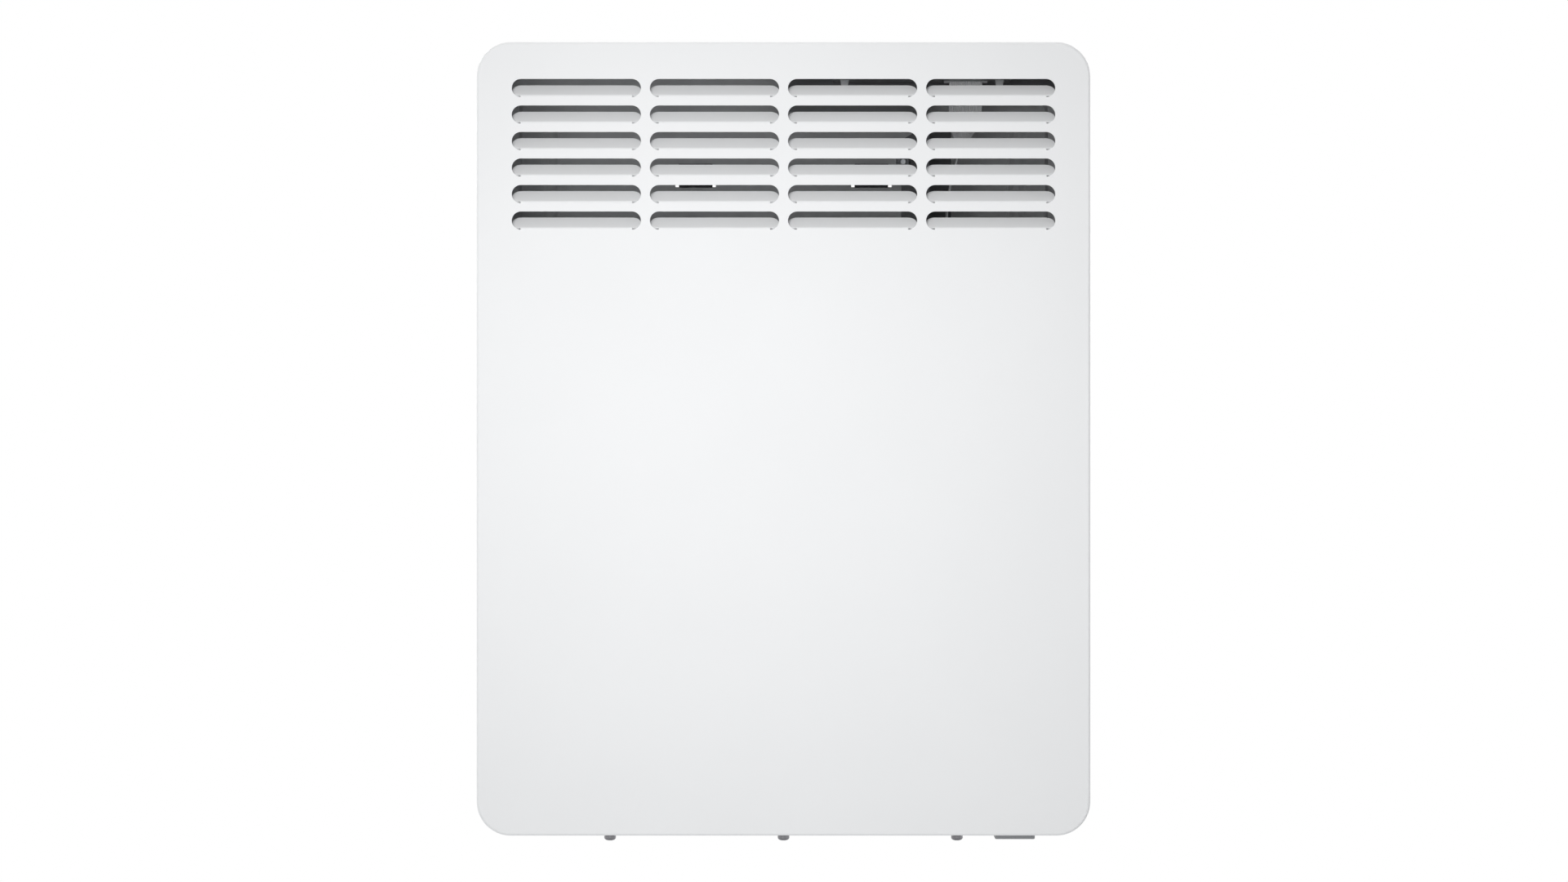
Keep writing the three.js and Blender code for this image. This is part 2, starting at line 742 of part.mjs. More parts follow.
// ---------------------------------------------------------------- heating element
// One fin of the extruded profile: a web from the hub with short cross ribs, turned to its angle.
function elementFin(angle) {
  const span = [0, elementLength];
  const web = blockGeometry(span, [0, finLength], around(0, finThickness)).rotateX(angle);
  const ribs = Array.from({ length: ribsPerFin }, (_, i) => {
    const reach = hubRadius + (i + 1) * (finLength - hubRadius - ribThickness / 2) / ribsPerFin;
    return blockGeometry(span, around(reach, ribThickness), around(0, ribHeight)).rotateX(angle);
  });
  return joined([web, ...ribs].map(solid));
}

function heatingElement() {
  const angles = [finTilt, Math.PI - finTilt, Math.PI + finTilt, -finTilt];
  const bore = bar('x', hubBoreRadius, [-1, 0, 0], elementLength + 2);
  return joined([bar('x', hubRadius, [0, 0, 0], elementLength), ...angles.map(elementFin)]).subtract(bore);
}

// The plate that holds one end of the heating rod in a bush, with its foot on the pan.
function elementSupport() {
  const holeRadius = rodRadius + seatGap + bushWall + seatGap;
  const plate = block(
    [0, supportSheet], [-elementStandOff - supportOverhang, -seatGap], around(0, supportHeight));
  const foot = block([0, supportFootLength], [-seatGap - supportSheet, -seatGap], around(0, supportHeight));
  const hole = bar('x', holeRadius, [-1, -elementStandOff, 0], supportSheet + 2);
  return plate.add(foot).subtract(hole);
}

function supportBush() {
  const bore = rodRadius + seatGap;
  const outer = bore + bushWall;
  const groove = supportSheet / 2 + seatGap;
  const half = bushLength / 2;
  return turned([
    [bore, -half], [outer + 1.6, -half], [outer + 1.6, -groove], [outer, -groove],
    [outer, groove], [outer + 1.6, groove], [outer + 1.6, half], [bore, half], [bore, -half],
  ]).rotateY(Math.PI / 2);
}

function rodBoot() {
  return turned([
    [0, 0], [bootRadius, 0], [bootRadius, bootLength * 0.7], [leadRadius * 2, bootLength], [0, bootLength],
  ]).rotateY(Math.PI / 2);
}

function rivet() {
  const crownRadius = rivetHeadRadius * 0.7;
  const profile = [[0, 0], [rivetHeadRadius, 0], [crownRadius, rivetHeadHeight], [0, rivetHeadHeight]];
  return turned(profile, 10).rotateX(Math.PI / 2);
}

// ---------------------------------------------------------------- electronics carrier and power board
function carrierBase() {
  const left = carrierFlangeX;
  const right = carrierWallX + carrierBaseRight;
  const ear = left - earReach;
  const earTop = upperEarZ + earHeight / 2;
  return polygon([
    [left, carrierBottomZ],
    [right, carrierBottomZ],
    [right, carrierTopZ],
    [Math.min(left + (carrierTopZ - earTop) / earSlope, carrierWallX - 1), carrierTopZ],
    [ear, earTop - earReach * earSlope],
    [ear, upperEarZ - earHeight / 2],
    [left, upperEarZ - earHeight / 2],
    [left, lowerEarZ + earHeight / 2],
    [ear, lowerEarZ + earHeight / 2],
    [ear, lowerEarZ - earHeight / 2 + 4],
    [left, lowerEarZ - earHeight / 2 + 4],
  ]);
}

function standoffPlaces() {
  const inset = boardEdge;
  return [boardBackY - inset, boardFrontY + inset].flatMap((y) => (
    [boardTopZ - inset, boardBottomZ + inset].map((z) => [y, z])));
}

function electronicsCarrier() {
  const backY = carrierBackY;
  const base = prism('y', carrierBase(), backY - carrierSheet, backY);
  const wall = block([carrierWallX, carrierRightX], [carrierFrontY, backY], [carrierBottomZ, carrierTopZ]);
  const standoffs = standoffPlaces().flatMap(([y, z]) => [
    bar('x', standoffRadius, [carrierWallX, y, z], carrierSheet + standoffHeight, 10),
    bar('x', nibRadius, [carrierWallX, y, z], carrierSheet + standoffHeight + boardThickness + 1.4, 8),
  ]);
  const holes = [
    ...[upperEarZ, lowerEarZ].map((z) => (
      bar(
        'y', studRadius + fitClearance, [carrierFlangeX + earStudInset, backY - carrierSheet - 1, z],
        carrierSheet + 2, 12))),
    bar('x', grommetRadius - 2, [carrierWallX - 1, elementY, grommetZ], carrierSheet + 2),
  ];
  return joined([base, wall, ...standoffs]).subtract(joined(holes));
}

function hexNut() {
  const radius = nutAcrossFlats / Math.sqrt(3);
  const outer = new THREE.CylinderGeometry(radius, radius, nutHeight, 6);
  return solid(outer).subtract(bar('y', nutBoreRadius, [0, -nutHeight, 0], nutHeight * 2, 12));
}

function wireGrommet() {
  const neck = grommetRadius - 2 - seatGap;
  const groove = carrierSheet / 2 + seatGap;
  const half = grommetThickness / 2;
  return turned([
    [grommetBoreRadius, -half], [grommetRadius, -half], [grommetRadius, -groove], [neck, -groove],
    [neck, groove], [grommetRadius, groove], [grommetRadius, half], [grommetBoreRadius, half],
    [grommetBoreRadius, -half],
  ]).rotateY(Math.PI / 2);
}

function overheatCutout() {
  const top = carrierWallX - seatGap;
  const flange = block(
    [top - cutoutFlangeHeight, top], around(elementY, cutoutRadius * 3), around(cutoutZ, cutoutFlangeWidth));
  const body = bar('x', cutoutRadius, [top - cutoutHeight, elementY, cutoutZ], cutoutHeight);
  const tabs = [-1, 1].map((side) => block(
    [top - cutoutHeight - spadeTabLength, top - cutoutHeight + 1],
    around(elementY + side * cutoutTabSpacing / 2, spadeTabThickness), around(cutoutZ, spadeTabWidth)));
  return joined([flange, body, ...tabs]);
}

function powerBoard() {
  const plate = block([boardLeftX, boardRightX], [boardFrontY, boardBackY], [boardBottomZ, boardTopZ]);
  const holes = standoffPlaces().map(([y, z]) => (
    bar('x', nibRadius + fitClearance, [boardLeftX - 1, y, z], boardThickness + 2, 10)));
  return plate.subtract(joined(holes));
}

// Pieces that stand on the board: size along x (height), y and z, and where the centre lies on the board.
function boardPart([height, depth, tall], y, z) {
  return block([partX, partX + height], around(y, depth), around(z, tall));
}

function boardTerminalY(way) {
  return boardMiddleY + (way - (boardTerminalWays - 1) / 2) * boardTerminalPitch;
}

function heatSink() {
  const [baseHeight, depth, tall] = heatSinkSize;
  const y = boardBackY - heatSinkInset;
  const z = boardTopZ - heatSinkDrop;
  const fins = [-2, -1, 0, 1, 2].map((step) => (
    boardPart([heatSinkHeight, heatSinkFinThickness, tall], y + step * heatSinkFinPitch, z)));
  return joined([boardPart([baseHeight, depth, tall], y, z), ...fins]);
}

function boardTerminals() {
  const z = boardBottomZ + boardTerminalRise;
  const rail = boardPart(
    [boardTerminalHeight, boardTerminalWays * boardTerminalPitch, boardTerminalDepth], boardMiddleY, z);
  const screws = Array.from({ length: boardTerminalWays }, (_, i) => (
    bar('x', boardTerminalScrewRadius, [partX + boardTerminalHeight - 2, boardTerminalY(i), z], 3, 10)));
  return rail.subtract(joined(screws));
}

function capacitor() {
  const place = [partX, boardMiddleY - capacitorInset, boardBottomZ + capacitorRise];
  return bar('x', capacitorRadius, place, capacitorHeight, 18)
    .add(bar('x', capacitorCapRadius, place, capacitorHeight + capacitorCapHeight, 18));
}

function relay() {
  return boardPart(relaySize, boardMiddleY - relayInset, boardTopZ - relayDrop);
}

function transformer() {
  const y = boardMiddleY - transformerInset;
  const z = boardTopZ - transformerDrop;
  return boardPart(transformerSize, y, z).add(boardPart(transformerCoreSize, y, z));
}

// ---------------------------------------------------------------- control unit
function keyXs() {
  return Array.from({ length: keyCount }, (_, i) => keyRowX + (i + 0.5) * keyPitch);
}

function controlFascia() {
  const span = (grow) => roundedRectangle(
    fasciaLength + 2 * grow, fasciaWidth + 2 * grow, fasciaCorner + grow, controlX, controlY);
  const face = prism('z', span(-fitClearance), fasciaBottomZ, casingTopZ);
  const flange = prism('z', span(fasciaFlange), flangeBottomZ, flangeTopZ);
  const keyHoles = keyXs().map((x) => block(
    around(x, keyLength + 2 * fitClearance), around(controlY, keyWidth + 2 * fitClearance),
    [fasciaBottomZ - 1, casingTopZ + 1]));
  const lensSeat = block(
    around(displayX, lensLength + 2 * seatGap), around(controlY, lensWidth + 2 * seatGap),
    [casingTopZ - lensThickness - 2 * seatGap, casingTopZ + 1]);
  const lensHole = block(
    around(displayX, lensLength - 2 * lensLedge), around(controlY, lensWidth - 2 * lensLedge),
    [fasciaBottomZ - 1, casingTopZ + 1]);
  return face.add(flange).subtract(joined([...keyHoles, lensSeat, lensHole]));
}

function keyCap() {
  const cap = block(around(0, keyLength), around(0, keyWidth), [-keyCapHeight, 0]);
  const footTop = fasciaBottomZ - keyTopZ - fitClearance;
  const foot = block(
    around(0, keyLength + 2 * keyFoot), around(0, keyWidth + 2 * keyFoot),
    [footTop - keyFootHeight, footTop]);
  return cap.add(foot);
}

function keySwitch() {
  const body = block(around(0, tactSize), around(0, tactSize), [-tactHeight, -1]);
  return body.add(bar('z', switchPlungerRadius, [0, 0, -1.5], 1.5, 12));
}

function displayLens() {
  const top = casingTopZ - seatGap;
  return block(around(displayX, lensLength), around(controlY, lensWidth), [top - lensThickness, top]);
}

function displayModule() {
  const top = fasciaBottomZ - seatGap;
  return block(
    around(displayX, lensLength + 2), around(controlY, lensWidth + 4),
    [Math.max(top - displayHeight, controlBoardTopZ + seatGap), top]);
}

function controlBoard() {
  const length = 2 * (housingHalfLength - housingWall - fitClearance);
  const width = 2 * (housingHalfWidth - housingWall - fitClearance);
  return block(around(controlX, length), around(controlY, width), [controlBoardBottomZ, controlBoardTopZ]);
}

function controlHousing() {
  const box = (inset, low, high) => block(
    around(controlX, 2 * (housingHalfLength - inset)), around(controlY, 2 * (housingHalfWidth - inset)),
    [low, high]);
  const outer = box(0, housingBottomZ, housingTopZ);
  const inner = box(housingWall, housingBottomZ + housingWall, housingTopZ + 1);
  const [postX, postY] = [housingHalfLength - postInset, housingHalfWidth - postInset];
  const posts = [-1, 1].flatMap((u) => [-1, 1].map((v) => bar(
    'z', postRadius, [controlX + u * postX, controlY + v * postY, housingBottomZ],
    controlBoardBottomZ - seatGap - housingBottomZ, 10)));
  const headerHole = block(
    around(ribbonX, ribbonHeaderLength + 2 * fitClearance),
    around(ribbonY, ribbonHeaderWidth + 2 * fitClearance),
    [housingBottomZ - 1, housingBottomZ + housingWall + 1]);
  const root = housingWall / 3;
  const clipShape = polygon([
    [-clipTipWidth / 2, -clipHeight], [clipTipWidth / 2, -clipHeight],
    [clipWidth / 2, root], [-clipWidth / 2, root],
  ]);
  const clips = [-1, 1].map((side) => prism('y', clipShape, -clipThickness / 2, clipThickness / 2)
    .translate([controlX + side * clipSpacing / 2, ribbonY - clipSetForward, housingBottomZ]));
  return outer.subtract(inner).add(joined([...posts, ...clips])).subtract(headerHole);
}

// The header under the control board, with an ear at each end that grips the ribbon's plug.
function controlHeader() {
  const top = controlBoardBottomZ - seatGap;
  const bottom = housingBottomZ - ribbonHeaderDrop;
  const body = block(
    around(ribbonX, ribbonHeaderLength), around(ribbonY, ribbonHeaderWidth), [bottom, top]);
  const throat = block(
    around(ribbonX, ribbonWidth + 2 * fitClearance), around(ribbonY, ribbonHeaderWidth + 1),
    [bottom - 1, housingBottomZ]);
  return body.subtract(throat);
}

// ---------------------------------------------------------------- ribbon cable
// Where the ribbon's centre line lies and how far the ribbon has turned, from its top (0) to its end (1).
function ribbonStation(t) {
  const topZ = housingBottomZ - seatGap;
  const z = THREE.MathUtils.lerp(topZ, boardHeaderTopZ + seatGap, t);
  const turn = THREE.MathUtils.smoothstep(casingTopZ - z, ribbonTwistTopDrop, ribbonTwistEndDrop);
  const drift = THREE.MathUtils.smootherstep(casingTopZ - z, ribbonDriftTopDrop, ribbonDriftEndDrop);
  const x = THREE.MathUtils.lerp(ribbonX, ribbonEndX, drift);
  return { centre: new THREE.Vector3(x, ribbonY, z), angle: turn * Math.PI / 2 };
}

function ribbonCable() {
  const positions = [];
  for (let i = 0; i <= ribbonStations; i += 1) {
    const { centre, angle } = ribbonStation(i / ribbonStations);
    const across = new THREE.Vector3(Math.cos(angle), Math.sin(angle), 0);
    const through = new THREE.Vector3(-Math.sin(angle), Math.cos(angle), 0);
    for (const [u, v] of [[-1, -1], [1, -1], [1, 1], [-1, 1]]) {
      const corner = centre.clone()
        .addScaledVector(across, u * ribbonWidth / 2)
        .addScaledVector(through, v * ribbonThickness / 2);
      positions.push(corner.x, corner.y, corner.z);
    }
  }
  const last = ribbonStations * 4;
  const indices = [0, 1, 2, 0, 2, 3, last, last + 2, last + 1, last, last + 3, last + 2];
  for (let i = 0; i < ribbonStations; i += 1) {
    for (let side = 0; side < 4; side += 1) {
      const a = i * 4 + side;
      const b = i * 4 + (side + 1) % 4;
      indices.push(a, a + 4, b, b, a + 4, b + 4);
    }
  }
  const geometry = new THREE.BufferGeometry();
  geometry.setAttribute('position', new THREE.Float32BufferAttribute(positions, 3));
  geometry.setIndex(indices);
  geometry.computeVertexNormals();
  return geometry;
}

function boardHeader() {
  return block(
    [partX, ribbonEndX + 4], around(ribbonY, ribbonHeaderLength),
    [boardHeaderTopZ - boardHeaderHeight, boardHeaderTopZ]);
}

// ---------------------------------------------------------------- inlet corner
function cableGland() {
  const inner = panFrontY - seatGap;
  const geometry = turned([
    [glandBoreRadius, 0], [glandRadius, 0], [glandRadius, glandFlange], [glandNeckRadius, glandFlange],
    [glandNeckRadius, glandFlange + seatGap + rearSheet + seatGap],
    [glandRadius - 0.6, glandFlange + rearSheet + 2 * seatGap],
    [glandRadius - 0.6, glandFlange + rearSheet + 6], [glandBoreRadius + 2, glandFlange + rearSheet + 12],
    [glandBoreRadius, glandFlange + rearSheet + 12], [glandBoreRadius, 0],
  ]);
  const backFace = inner + rearSheet + 2 * seatGap + glandFlange;
  return geometry.rotateX(Math.PI / 2).translate(inletX, backFace, glandZ);
}

function terminalBlock() {
  const backY = panFrontY - seatGap;
  const body = block(
    around(inletX, terminalLength), [backY - terminalDepth, backY], around(terminalZ, terminalHeight));
  const pitch = terminalLength / terminalWays;
  const cuts = Array.from({ length: terminalWays }, (_, i) => {
    const x = inletX + (i - (terminalWays - 1) / 2) * pitch;
    const screw = bar('y', terminalScrewRadius, [x, backY - terminalDepth - 1, terminalZ], 5, 12);
    const wireHole = bar(
      'z', terminalWireRadius, [x, backY - terminalDepth / 2, terminalZ - terminalHeight / 2 - 1], 7, 10);
    return screw.add(wireHole);
  });
  return body.subtract(joined(cuts));
}

function sensorHolder() {
  const bottom = innerBottomZ + seatGap;
  const holder = block(
    around(sensorX, sensorHolderWidth), around(coverScrewY, sensorHolderDepth),
    [bottom, bottom + sensorHolderHeight]);
  const hole = bar(
    'y', sensorRadius + fitClearance, [sensorX, coverScrewY - sensorHolderDepth, sensorHeightZ],
    sensorHolderDepth * 2, 12);
  return holder.subtract(hole);
}

const sensorHeightZ = innerBottomZ + seatGap + sensorHolderHeight - sensorRadius - 2.5;

function roomSensor() {
  return bar('y', sensorRadius, [0, 1 - sensorLength, 0], sensorLength, 12);
}

// ---------------------------------------------------------------- internal leads
function lead(points) {
  const places = points.map(([x, y, z]) => new THREE.Vector3(x, y, z));
  const path = new THREE.CatmullRomCurve3(places, false, 'centripetal');
  const section = new THREE.Shape();
  for (let i = 0; i < leadSides; i += 1) {
    const angle = i / leadSides * Math.PI * 2;
    const [u, v] = [leadRadius * Math.cos(angle), leadRadius * Math.sin(angle)];
    if (i === 0) section.moveTo(u, v);
    else section.lineTo(u, v);
  }
  const steps = Math.round(path.getLength() / (leadRadius * 7));
  const options = { steps, extrudePath: path, bevelEnabled: false };
  return geometryOf(solid(new THREE.ExtrudeGeometry(section, options)));
}

function addLeads(group) {
  const rodEndX = elementRightX + rodOverhang + bootLength + fitClearance;
  const rodStartX = elementLeftX - rodOverhang - bootLength - fitClearance;
  const switchTopZ = rockerFaceZ + switchBodyHeight + switchTabLength + fitClearance;
  const terminalBottomZ = terminalZ - terminalHeight / 2 - fitClearance;
  const terminalY = panFrontY - seatGap - terminalDepth / 2;
  const terminalPitch = terminalLength / terminalWays;
  const boardTerminalZ = boardBottomZ + 3 - fitClearance;
  const boardTerminalX = partX + 6;
  const cutoutTabX = carrierWallX - seatGap - cutoutHeight - spadeTabLength - fitClearance;
  const earthY = panFrontY - 4;

  const switchTab = (side) => switchY + side * switchTabPitch;
  const cutoutTab = (side) => elementY + side * cutoutTabSpacing / 2;

  place(group, 'live_lead', lead([
    [inletX + terminalPitch, terminalY, terminalBottomZ],
    [inletX + terminalPitch, terminalY, terminalBottomZ - 8],
    [switchX - 1, terminalY - 13, glandZ + 4],
    [switchX, switchTab(1) + 3, glandZ - 6],
    [switchX, switchTab(1), switchTopZ + 11],
    [switchX, switchTab(1), switchTopZ],
  ]), brownLead);
  place(group, 'switched_live_lead', lead([
    [switchX, switchTab(-1), switchTopZ],
    [switchX, switchTab(-1), switchTopZ + 11],
    [switchX - 4, switchTab(-1) + 2, glandZ + 20],
    [inletX - 3, switchY - 2, terminalZ + 42],
    [boardTerminalX + 2, boardTerminalY(0), boardTerminalZ - 18],
    [boardTerminalX, boardTerminalY(0), boardTerminalZ - 8],
    [boardTerminalX, boardTerminalY(0), boardTerminalZ],
  ]), brownLead);
  place(group, 'neutral_lead', lead([
    [inletX, terminalY, terminalBottomZ],
    [inletX, terminalY, terminalBottomZ - 7],
    [inletX - 6, terminalY - 12, terminalBottomZ - 10],
    [inletX - 14, terminalY - 22, terminalZ],
    [inletX - 19, boardTerminalY(2) - 1, terminalZ + 62],
    [boardTerminalX, boardTerminalY(2), boardTerminalZ - 9],
    [boardTerminalX, boardTerminalY(2), boardTerminalZ],
  ]), blueLead);
  place(group, 'earth_lead', lead([
    [inletX - terminalPitch, terminalY, terminalBottomZ],
    [inletX - terminalPitch, terminalY, terminalBottomZ - 10],
    [inletX - glandRadius - 1, earthY - 2, glandZ],
    [inletX - 4, earthY - 1, glandZ - glandRadius - 5],
    [inletX + glandRadius, earthY - 1, glandZ - glandRadius - 9],
    [earthX - 2, earthY, glandZ - glandRadius - 3],
    [earthX, earthY, earthZ - 10],
    [earthX, earthY, earthZ - nutAcrossFlats / 2 - 1.2],
  ]), greenLead);
  place(group, 'element_feed_lead', lead([
    [boardTerminalX, boardTerminalY(1), boardTerminalZ],
    [boardTerminalX, boardTerminalY(1), boardTerminalZ - 6],
    [boardTerminalX - 4, boardTerminalY(1), grommetZ],
    [carrierRightX + 4, elementY - 1.8, grommetZ],
    [carrierWallX - 6, elementY - 1.8, grommetZ],
    [cutoutTabX - 14, cutoutTab(-1), grommetZ - 14],
    [cutoutTabX - 8, cutoutTab(-1), cutoutZ],
    [cutoutTabX, cutoutTab(-1), cutoutZ],
  ]), siliconeRubber);
  place(group, 'element_cutout_lead', lead([
    [cutoutTabX, cutoutTab(1), cutoutZ],
    [cutoutTabX - 8, cutoutTab(1), cutoutZ],
    [cutoutTabX - 8, cutoutTab(1) - 1, cutoutZ - 24],
    [rodEndX - 2, elementY + 2, elementZ + 34],
    [rodEndX + 8, elementY, elementZ + 12],
    [rodEndX + 6, elementY, elementZ],
    [rodEndX, elementY, elementZ],
  ]), siliconeRubber);
  place(group, 'element_return_lead', lead([
    [rodStartX, elementY, elementZ],
    [rodStartX - 4, elementY, elementZ],
    [rodStartX - 6.5, elementY + 3, elementZ + 7],
    [rodStartX - 2, elementY + 10, elementZ + 19],
    [elementLeftX - 18, panFrontY - 17, elementZ + 31],
    [elementLeftX - 2, panFrontY - 6, elementZ + 38],
    [elementLeftX + 48, panFrontY - 5, elementZ + 39],
    [elementRightX - 12, panFrontY - 6, elementZ + 41],
    [elementRightX + 10, panFrontY - 15, elementZ + 60],
    [elementRightX + 20, elementY + 8, grommetZ - 20],
    [carrierWallX - 14, elementY + 2, grommetZ - 3],
    [carrierWallX - 6, elementY + 1.8, grommetZ],
    [carrierRightX + 4, elementY + 1.8, grommetZ],
    [boardRightX, elementY + 10, grommetZ - 1],
    [boardRightX, elementY + 18, grommetZ + 1],
    [boardTerminalX - 2, boardTerminalY(4), boardTerminalZ - 6],
    [boardTerminalX, boardTerminalY(4), boardTerminalZ],
  ]), siliconeRubber);
  place(group, 'sensor_lead', lead([
    [sensorX, coverScrewY + 1 + fitClearance, sensorHeightZ],
    [sensorX, coverScrewY + 4.4, sensorHeightZ + 0.6],
    [sensorX, rimFrontY - 2.3, sensorHeightZ + 6.5],
    [sensorX + 1, rimFrontY - 2, panBottomZ + 4],
    [sensorX + 4, panFrontY - 11, panBottomZ + 16],
    [boardRightX, panFrontY - 6.7, glandZ],
    [boardRightX, panFrontY - 6.2, terminalZ + 22],
    [boardRightX + 1, panFrontY - 9, boardTerminalZ - 43],
    [boardTerminalX - 1, boardTerminalY(3) - 1, boardTerminalZ - 20],
    [boardTerminalX, boardTerminalY(3), boardTerminalZ - 8],
    [boardTerminalX, boardTerminalY(3), boardTerminalZ],
  ]), greyLead);
}

// ---------------------------------------------------------------- assembly
function addCasing(group) {
  place(group, 'front_cover', geometryOf(frontCover()), whitePowderCoat);
  place(group, 'rear_panel', geometryOf(rearPanel()), greySheet);
  const screwNames = ['cover_screw_left', 'cover_screw_middle', 'cover_screw_right'];
  coverScrewXs().forEach((x, i) => {
    place(group, screwNames[i], coverScrew(), darkScrewSteel, [x, coverScrewY, casingBottomZ - seatGap]);
  });
}

function addSwitch(group) {
  place(group, 'mains_switch_body', geometryOf(switchBody()), greyPlastic);
  place(group, 'mains_rocker', rocker(), blackPlastic, [switchX, switchY, rockerFaceZ + rockerPivotDepth]);
}

function addElement(group) {
  place(
    group, 'heating_element', geometryOf(heatingElement()), castAluminium,
    [elementLeftX, elementY, elementZ]);
  const rodLength = elementLength + 2 * rodOverhang;
  const rodSolid = bar('x', rodRadius, [0, 0, 0], rodLength);
  place(
    group, 'heating_rod', geometryOf(rodSolid), stainlessSteel,
    [elementLeftX - rodOverhang, elementY, elementZ]);
  const ends = [['left', -1, elementLeftX], ['right', 1, elementRightX]];
  for (const [name, side, endX] of ends) {
    const plateX = endX + side * rodOverhang / 2;
    const rodEndX = endX + side * (rodOverhang + seatGap);
    const bootGeometry = side > 0 ? rodBoot() : rodBoot().rotateZ(Math.PI);
    place(
      group, `element_support_${name}`, geometryOf(elementSupport()), zincSteel,
      [plateX - supportSheet / 2, panFrontY, elementZ]);
    place(group, `support_bush_${name}`, supportBush(), siliconeRubber, [plateX, elementY, elementZ]);
    place(group, `rod_boot_${name}`, bootGeometry, siliconeRubber, [rodEndX, elementY, elementZ]);
    place(
      group, `support_rivet_${name}`, rivet(), zincSteel,
      [plateX + supportFootLength / 2, panFrontY - 2 * seatGap - supportSheet, elementZ]);
  }
}

function addElectronics(group) {
  const nutPlace = (z) => [
    carrierFlangeX + earStudInset, carrierBackY - carrierSheet - seatGap - nutHeight / 2, z];
  place(group, 'electronics_carrier', geometryOf(electronicsCarrier()), blackSteel);
  place(group, 'carrier_nut_upper', geometryOf(hexNut()), zincSteel, nutPlace(upperEarZ));
  place(group, 'carrier_nut_lower', geometryOf(hexNut()), zincSteel, nutPlace(lowerEarZ));
  place(group, 'power_board', geometryOf(powerBoard()), circuitBoard);
  place(group, 'relay', geometryOf(relay()), blackPlastic);
  place(group, 'transformer', geometryOf(transformer()), greySheet);
  place(group, 'filter_capacitor', geometryOf(capacitor()), blackPlastic);
  place(group, 'triac_heat_sink', geometryOf(heatSink()), castAluminium);
  place(group, 'board_terminals', geometryOf(boardTerminals()), greyPlastic);
  place(group, 'board_header', geometryOf(boardHeader()), whitePlastic);
  const grommetX = (carrierWallX + carrierRightX) / 2;
  place(group, 'wire_grommet', wireGrommet(), siliconeRubber, [grommetX, elementY, grommetZ]);
  place(group, 'overheat_cutout', geometryOf(overheatCutout()), blackPlastic);
}

function addControlUnit(group) {
  place(group, 'control_housing', geometryOf(controlHousing()), greyPlastic);
  place(group, 'control_board', geometryOf(controlBoard()), circuitBoard);
  place(group, 'control_header', geometryOf(controlHeader()), greyPlastic);
  place(group, 'control_fascia', geometryOf(controlFascia()), whitePlastic);
  place(group, 'display_lens', geometryOf(displayLens()), clearPlastic);
  place(group, 'display_module', geometryOf(displayModule()), blackPlastic);
  const keyNames = ['key_standby', 'key_mode', 'key_down', 'key_up'];
  keyXs().forEach((x, i) => {
    place(group, keyNames[i], geometryOf(keyCap()), whitePlastic, [x, controlY, keyTopZ]);
    place(group, `${keyNames[i]}_switch`, geometryOf(keySwitch()), blackPlastic, [x, controlY, tactTopZ]);
  });
  place(group, 'ribbon_cable', ribbonCable(), greyLead);
}

function addInletCorner(group) {
  place(group, 'cable_gland', cableGland(), blackPlastic);
  place(group, 'terminal_block', geometryOf(terminalBlock()), whitePlastic);
  place(
    group, 'earth_nut', geometryOf(hexNut()), zincSteel,
    [earthX, panFrontY - seatGap - nutHeight / 2, earthZ]);
  place(group, 'sensor_holder', geometryOf(sensorHolder()), whitePlastic);
  place(
    group, 'room_sensor', geometryOf(roomSensor()), blackPlastic, [sensorX, coverScrewY, sensorHeightZ]);
}

const heater = new THREE.Group();
addCasing(heater);
addSwitch(heater);
addElement(heater);
addElectronics(heater);
addControlUnit(heater);
addInletCorner(heater);
addLeads(heater);

const convectorHeater = new THREE.Group();
place(convectorHeater, 'wall_bracket', geometryOf(wallBracket()), blackBracketCoat);
convectorHeater.add(heater);

export default convectorHeater;
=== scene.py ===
"""Wall panel convector heater: fine shapes and finishes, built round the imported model.

Shapes are made in millimetres and scaled to metres once, when they become pieces.
"""
import math

import bmesh
import bpy
from mathutils import Matrix, Vector


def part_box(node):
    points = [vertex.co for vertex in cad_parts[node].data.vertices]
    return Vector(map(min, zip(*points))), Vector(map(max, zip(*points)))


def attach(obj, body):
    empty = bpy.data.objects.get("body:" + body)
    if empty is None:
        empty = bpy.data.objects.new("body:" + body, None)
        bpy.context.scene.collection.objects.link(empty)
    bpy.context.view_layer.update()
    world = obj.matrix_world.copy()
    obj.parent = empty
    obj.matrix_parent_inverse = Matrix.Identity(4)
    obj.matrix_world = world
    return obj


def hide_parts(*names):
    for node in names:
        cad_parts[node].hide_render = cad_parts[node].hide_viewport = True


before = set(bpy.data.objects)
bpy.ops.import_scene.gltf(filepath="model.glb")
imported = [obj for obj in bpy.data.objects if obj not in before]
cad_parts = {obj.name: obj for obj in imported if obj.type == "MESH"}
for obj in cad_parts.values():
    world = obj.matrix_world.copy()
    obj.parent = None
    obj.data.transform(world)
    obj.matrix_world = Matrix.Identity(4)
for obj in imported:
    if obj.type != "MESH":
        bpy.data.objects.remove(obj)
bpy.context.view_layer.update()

MM = 0.001
QUARTER = math.pi / 2
TO_RIGHT = Matrix.Rotation(QUARTER, 4, "Y")
TO_LEFT = Matrix.Rotation(-QUARTER, 4, "Y")

# What seats on another piece clears it by this much.
SEAT_GAP = 0.2

# The camera stands 2.4 m in front of the casing, level with its middle.
CAMERA_PLACE = (0.28, -2500, -136.2)
CAMERA_LENS = 97.2

# The floor's width and where it lies, in metres.
FLOOR_SIZE = 3.0
FLOOR_Z = -0.7

# Casing.
COVER_SHEET = 1.0
CORNER_RADIUS = 19.3
FRONT_EDGE_RADIUS = 1.5

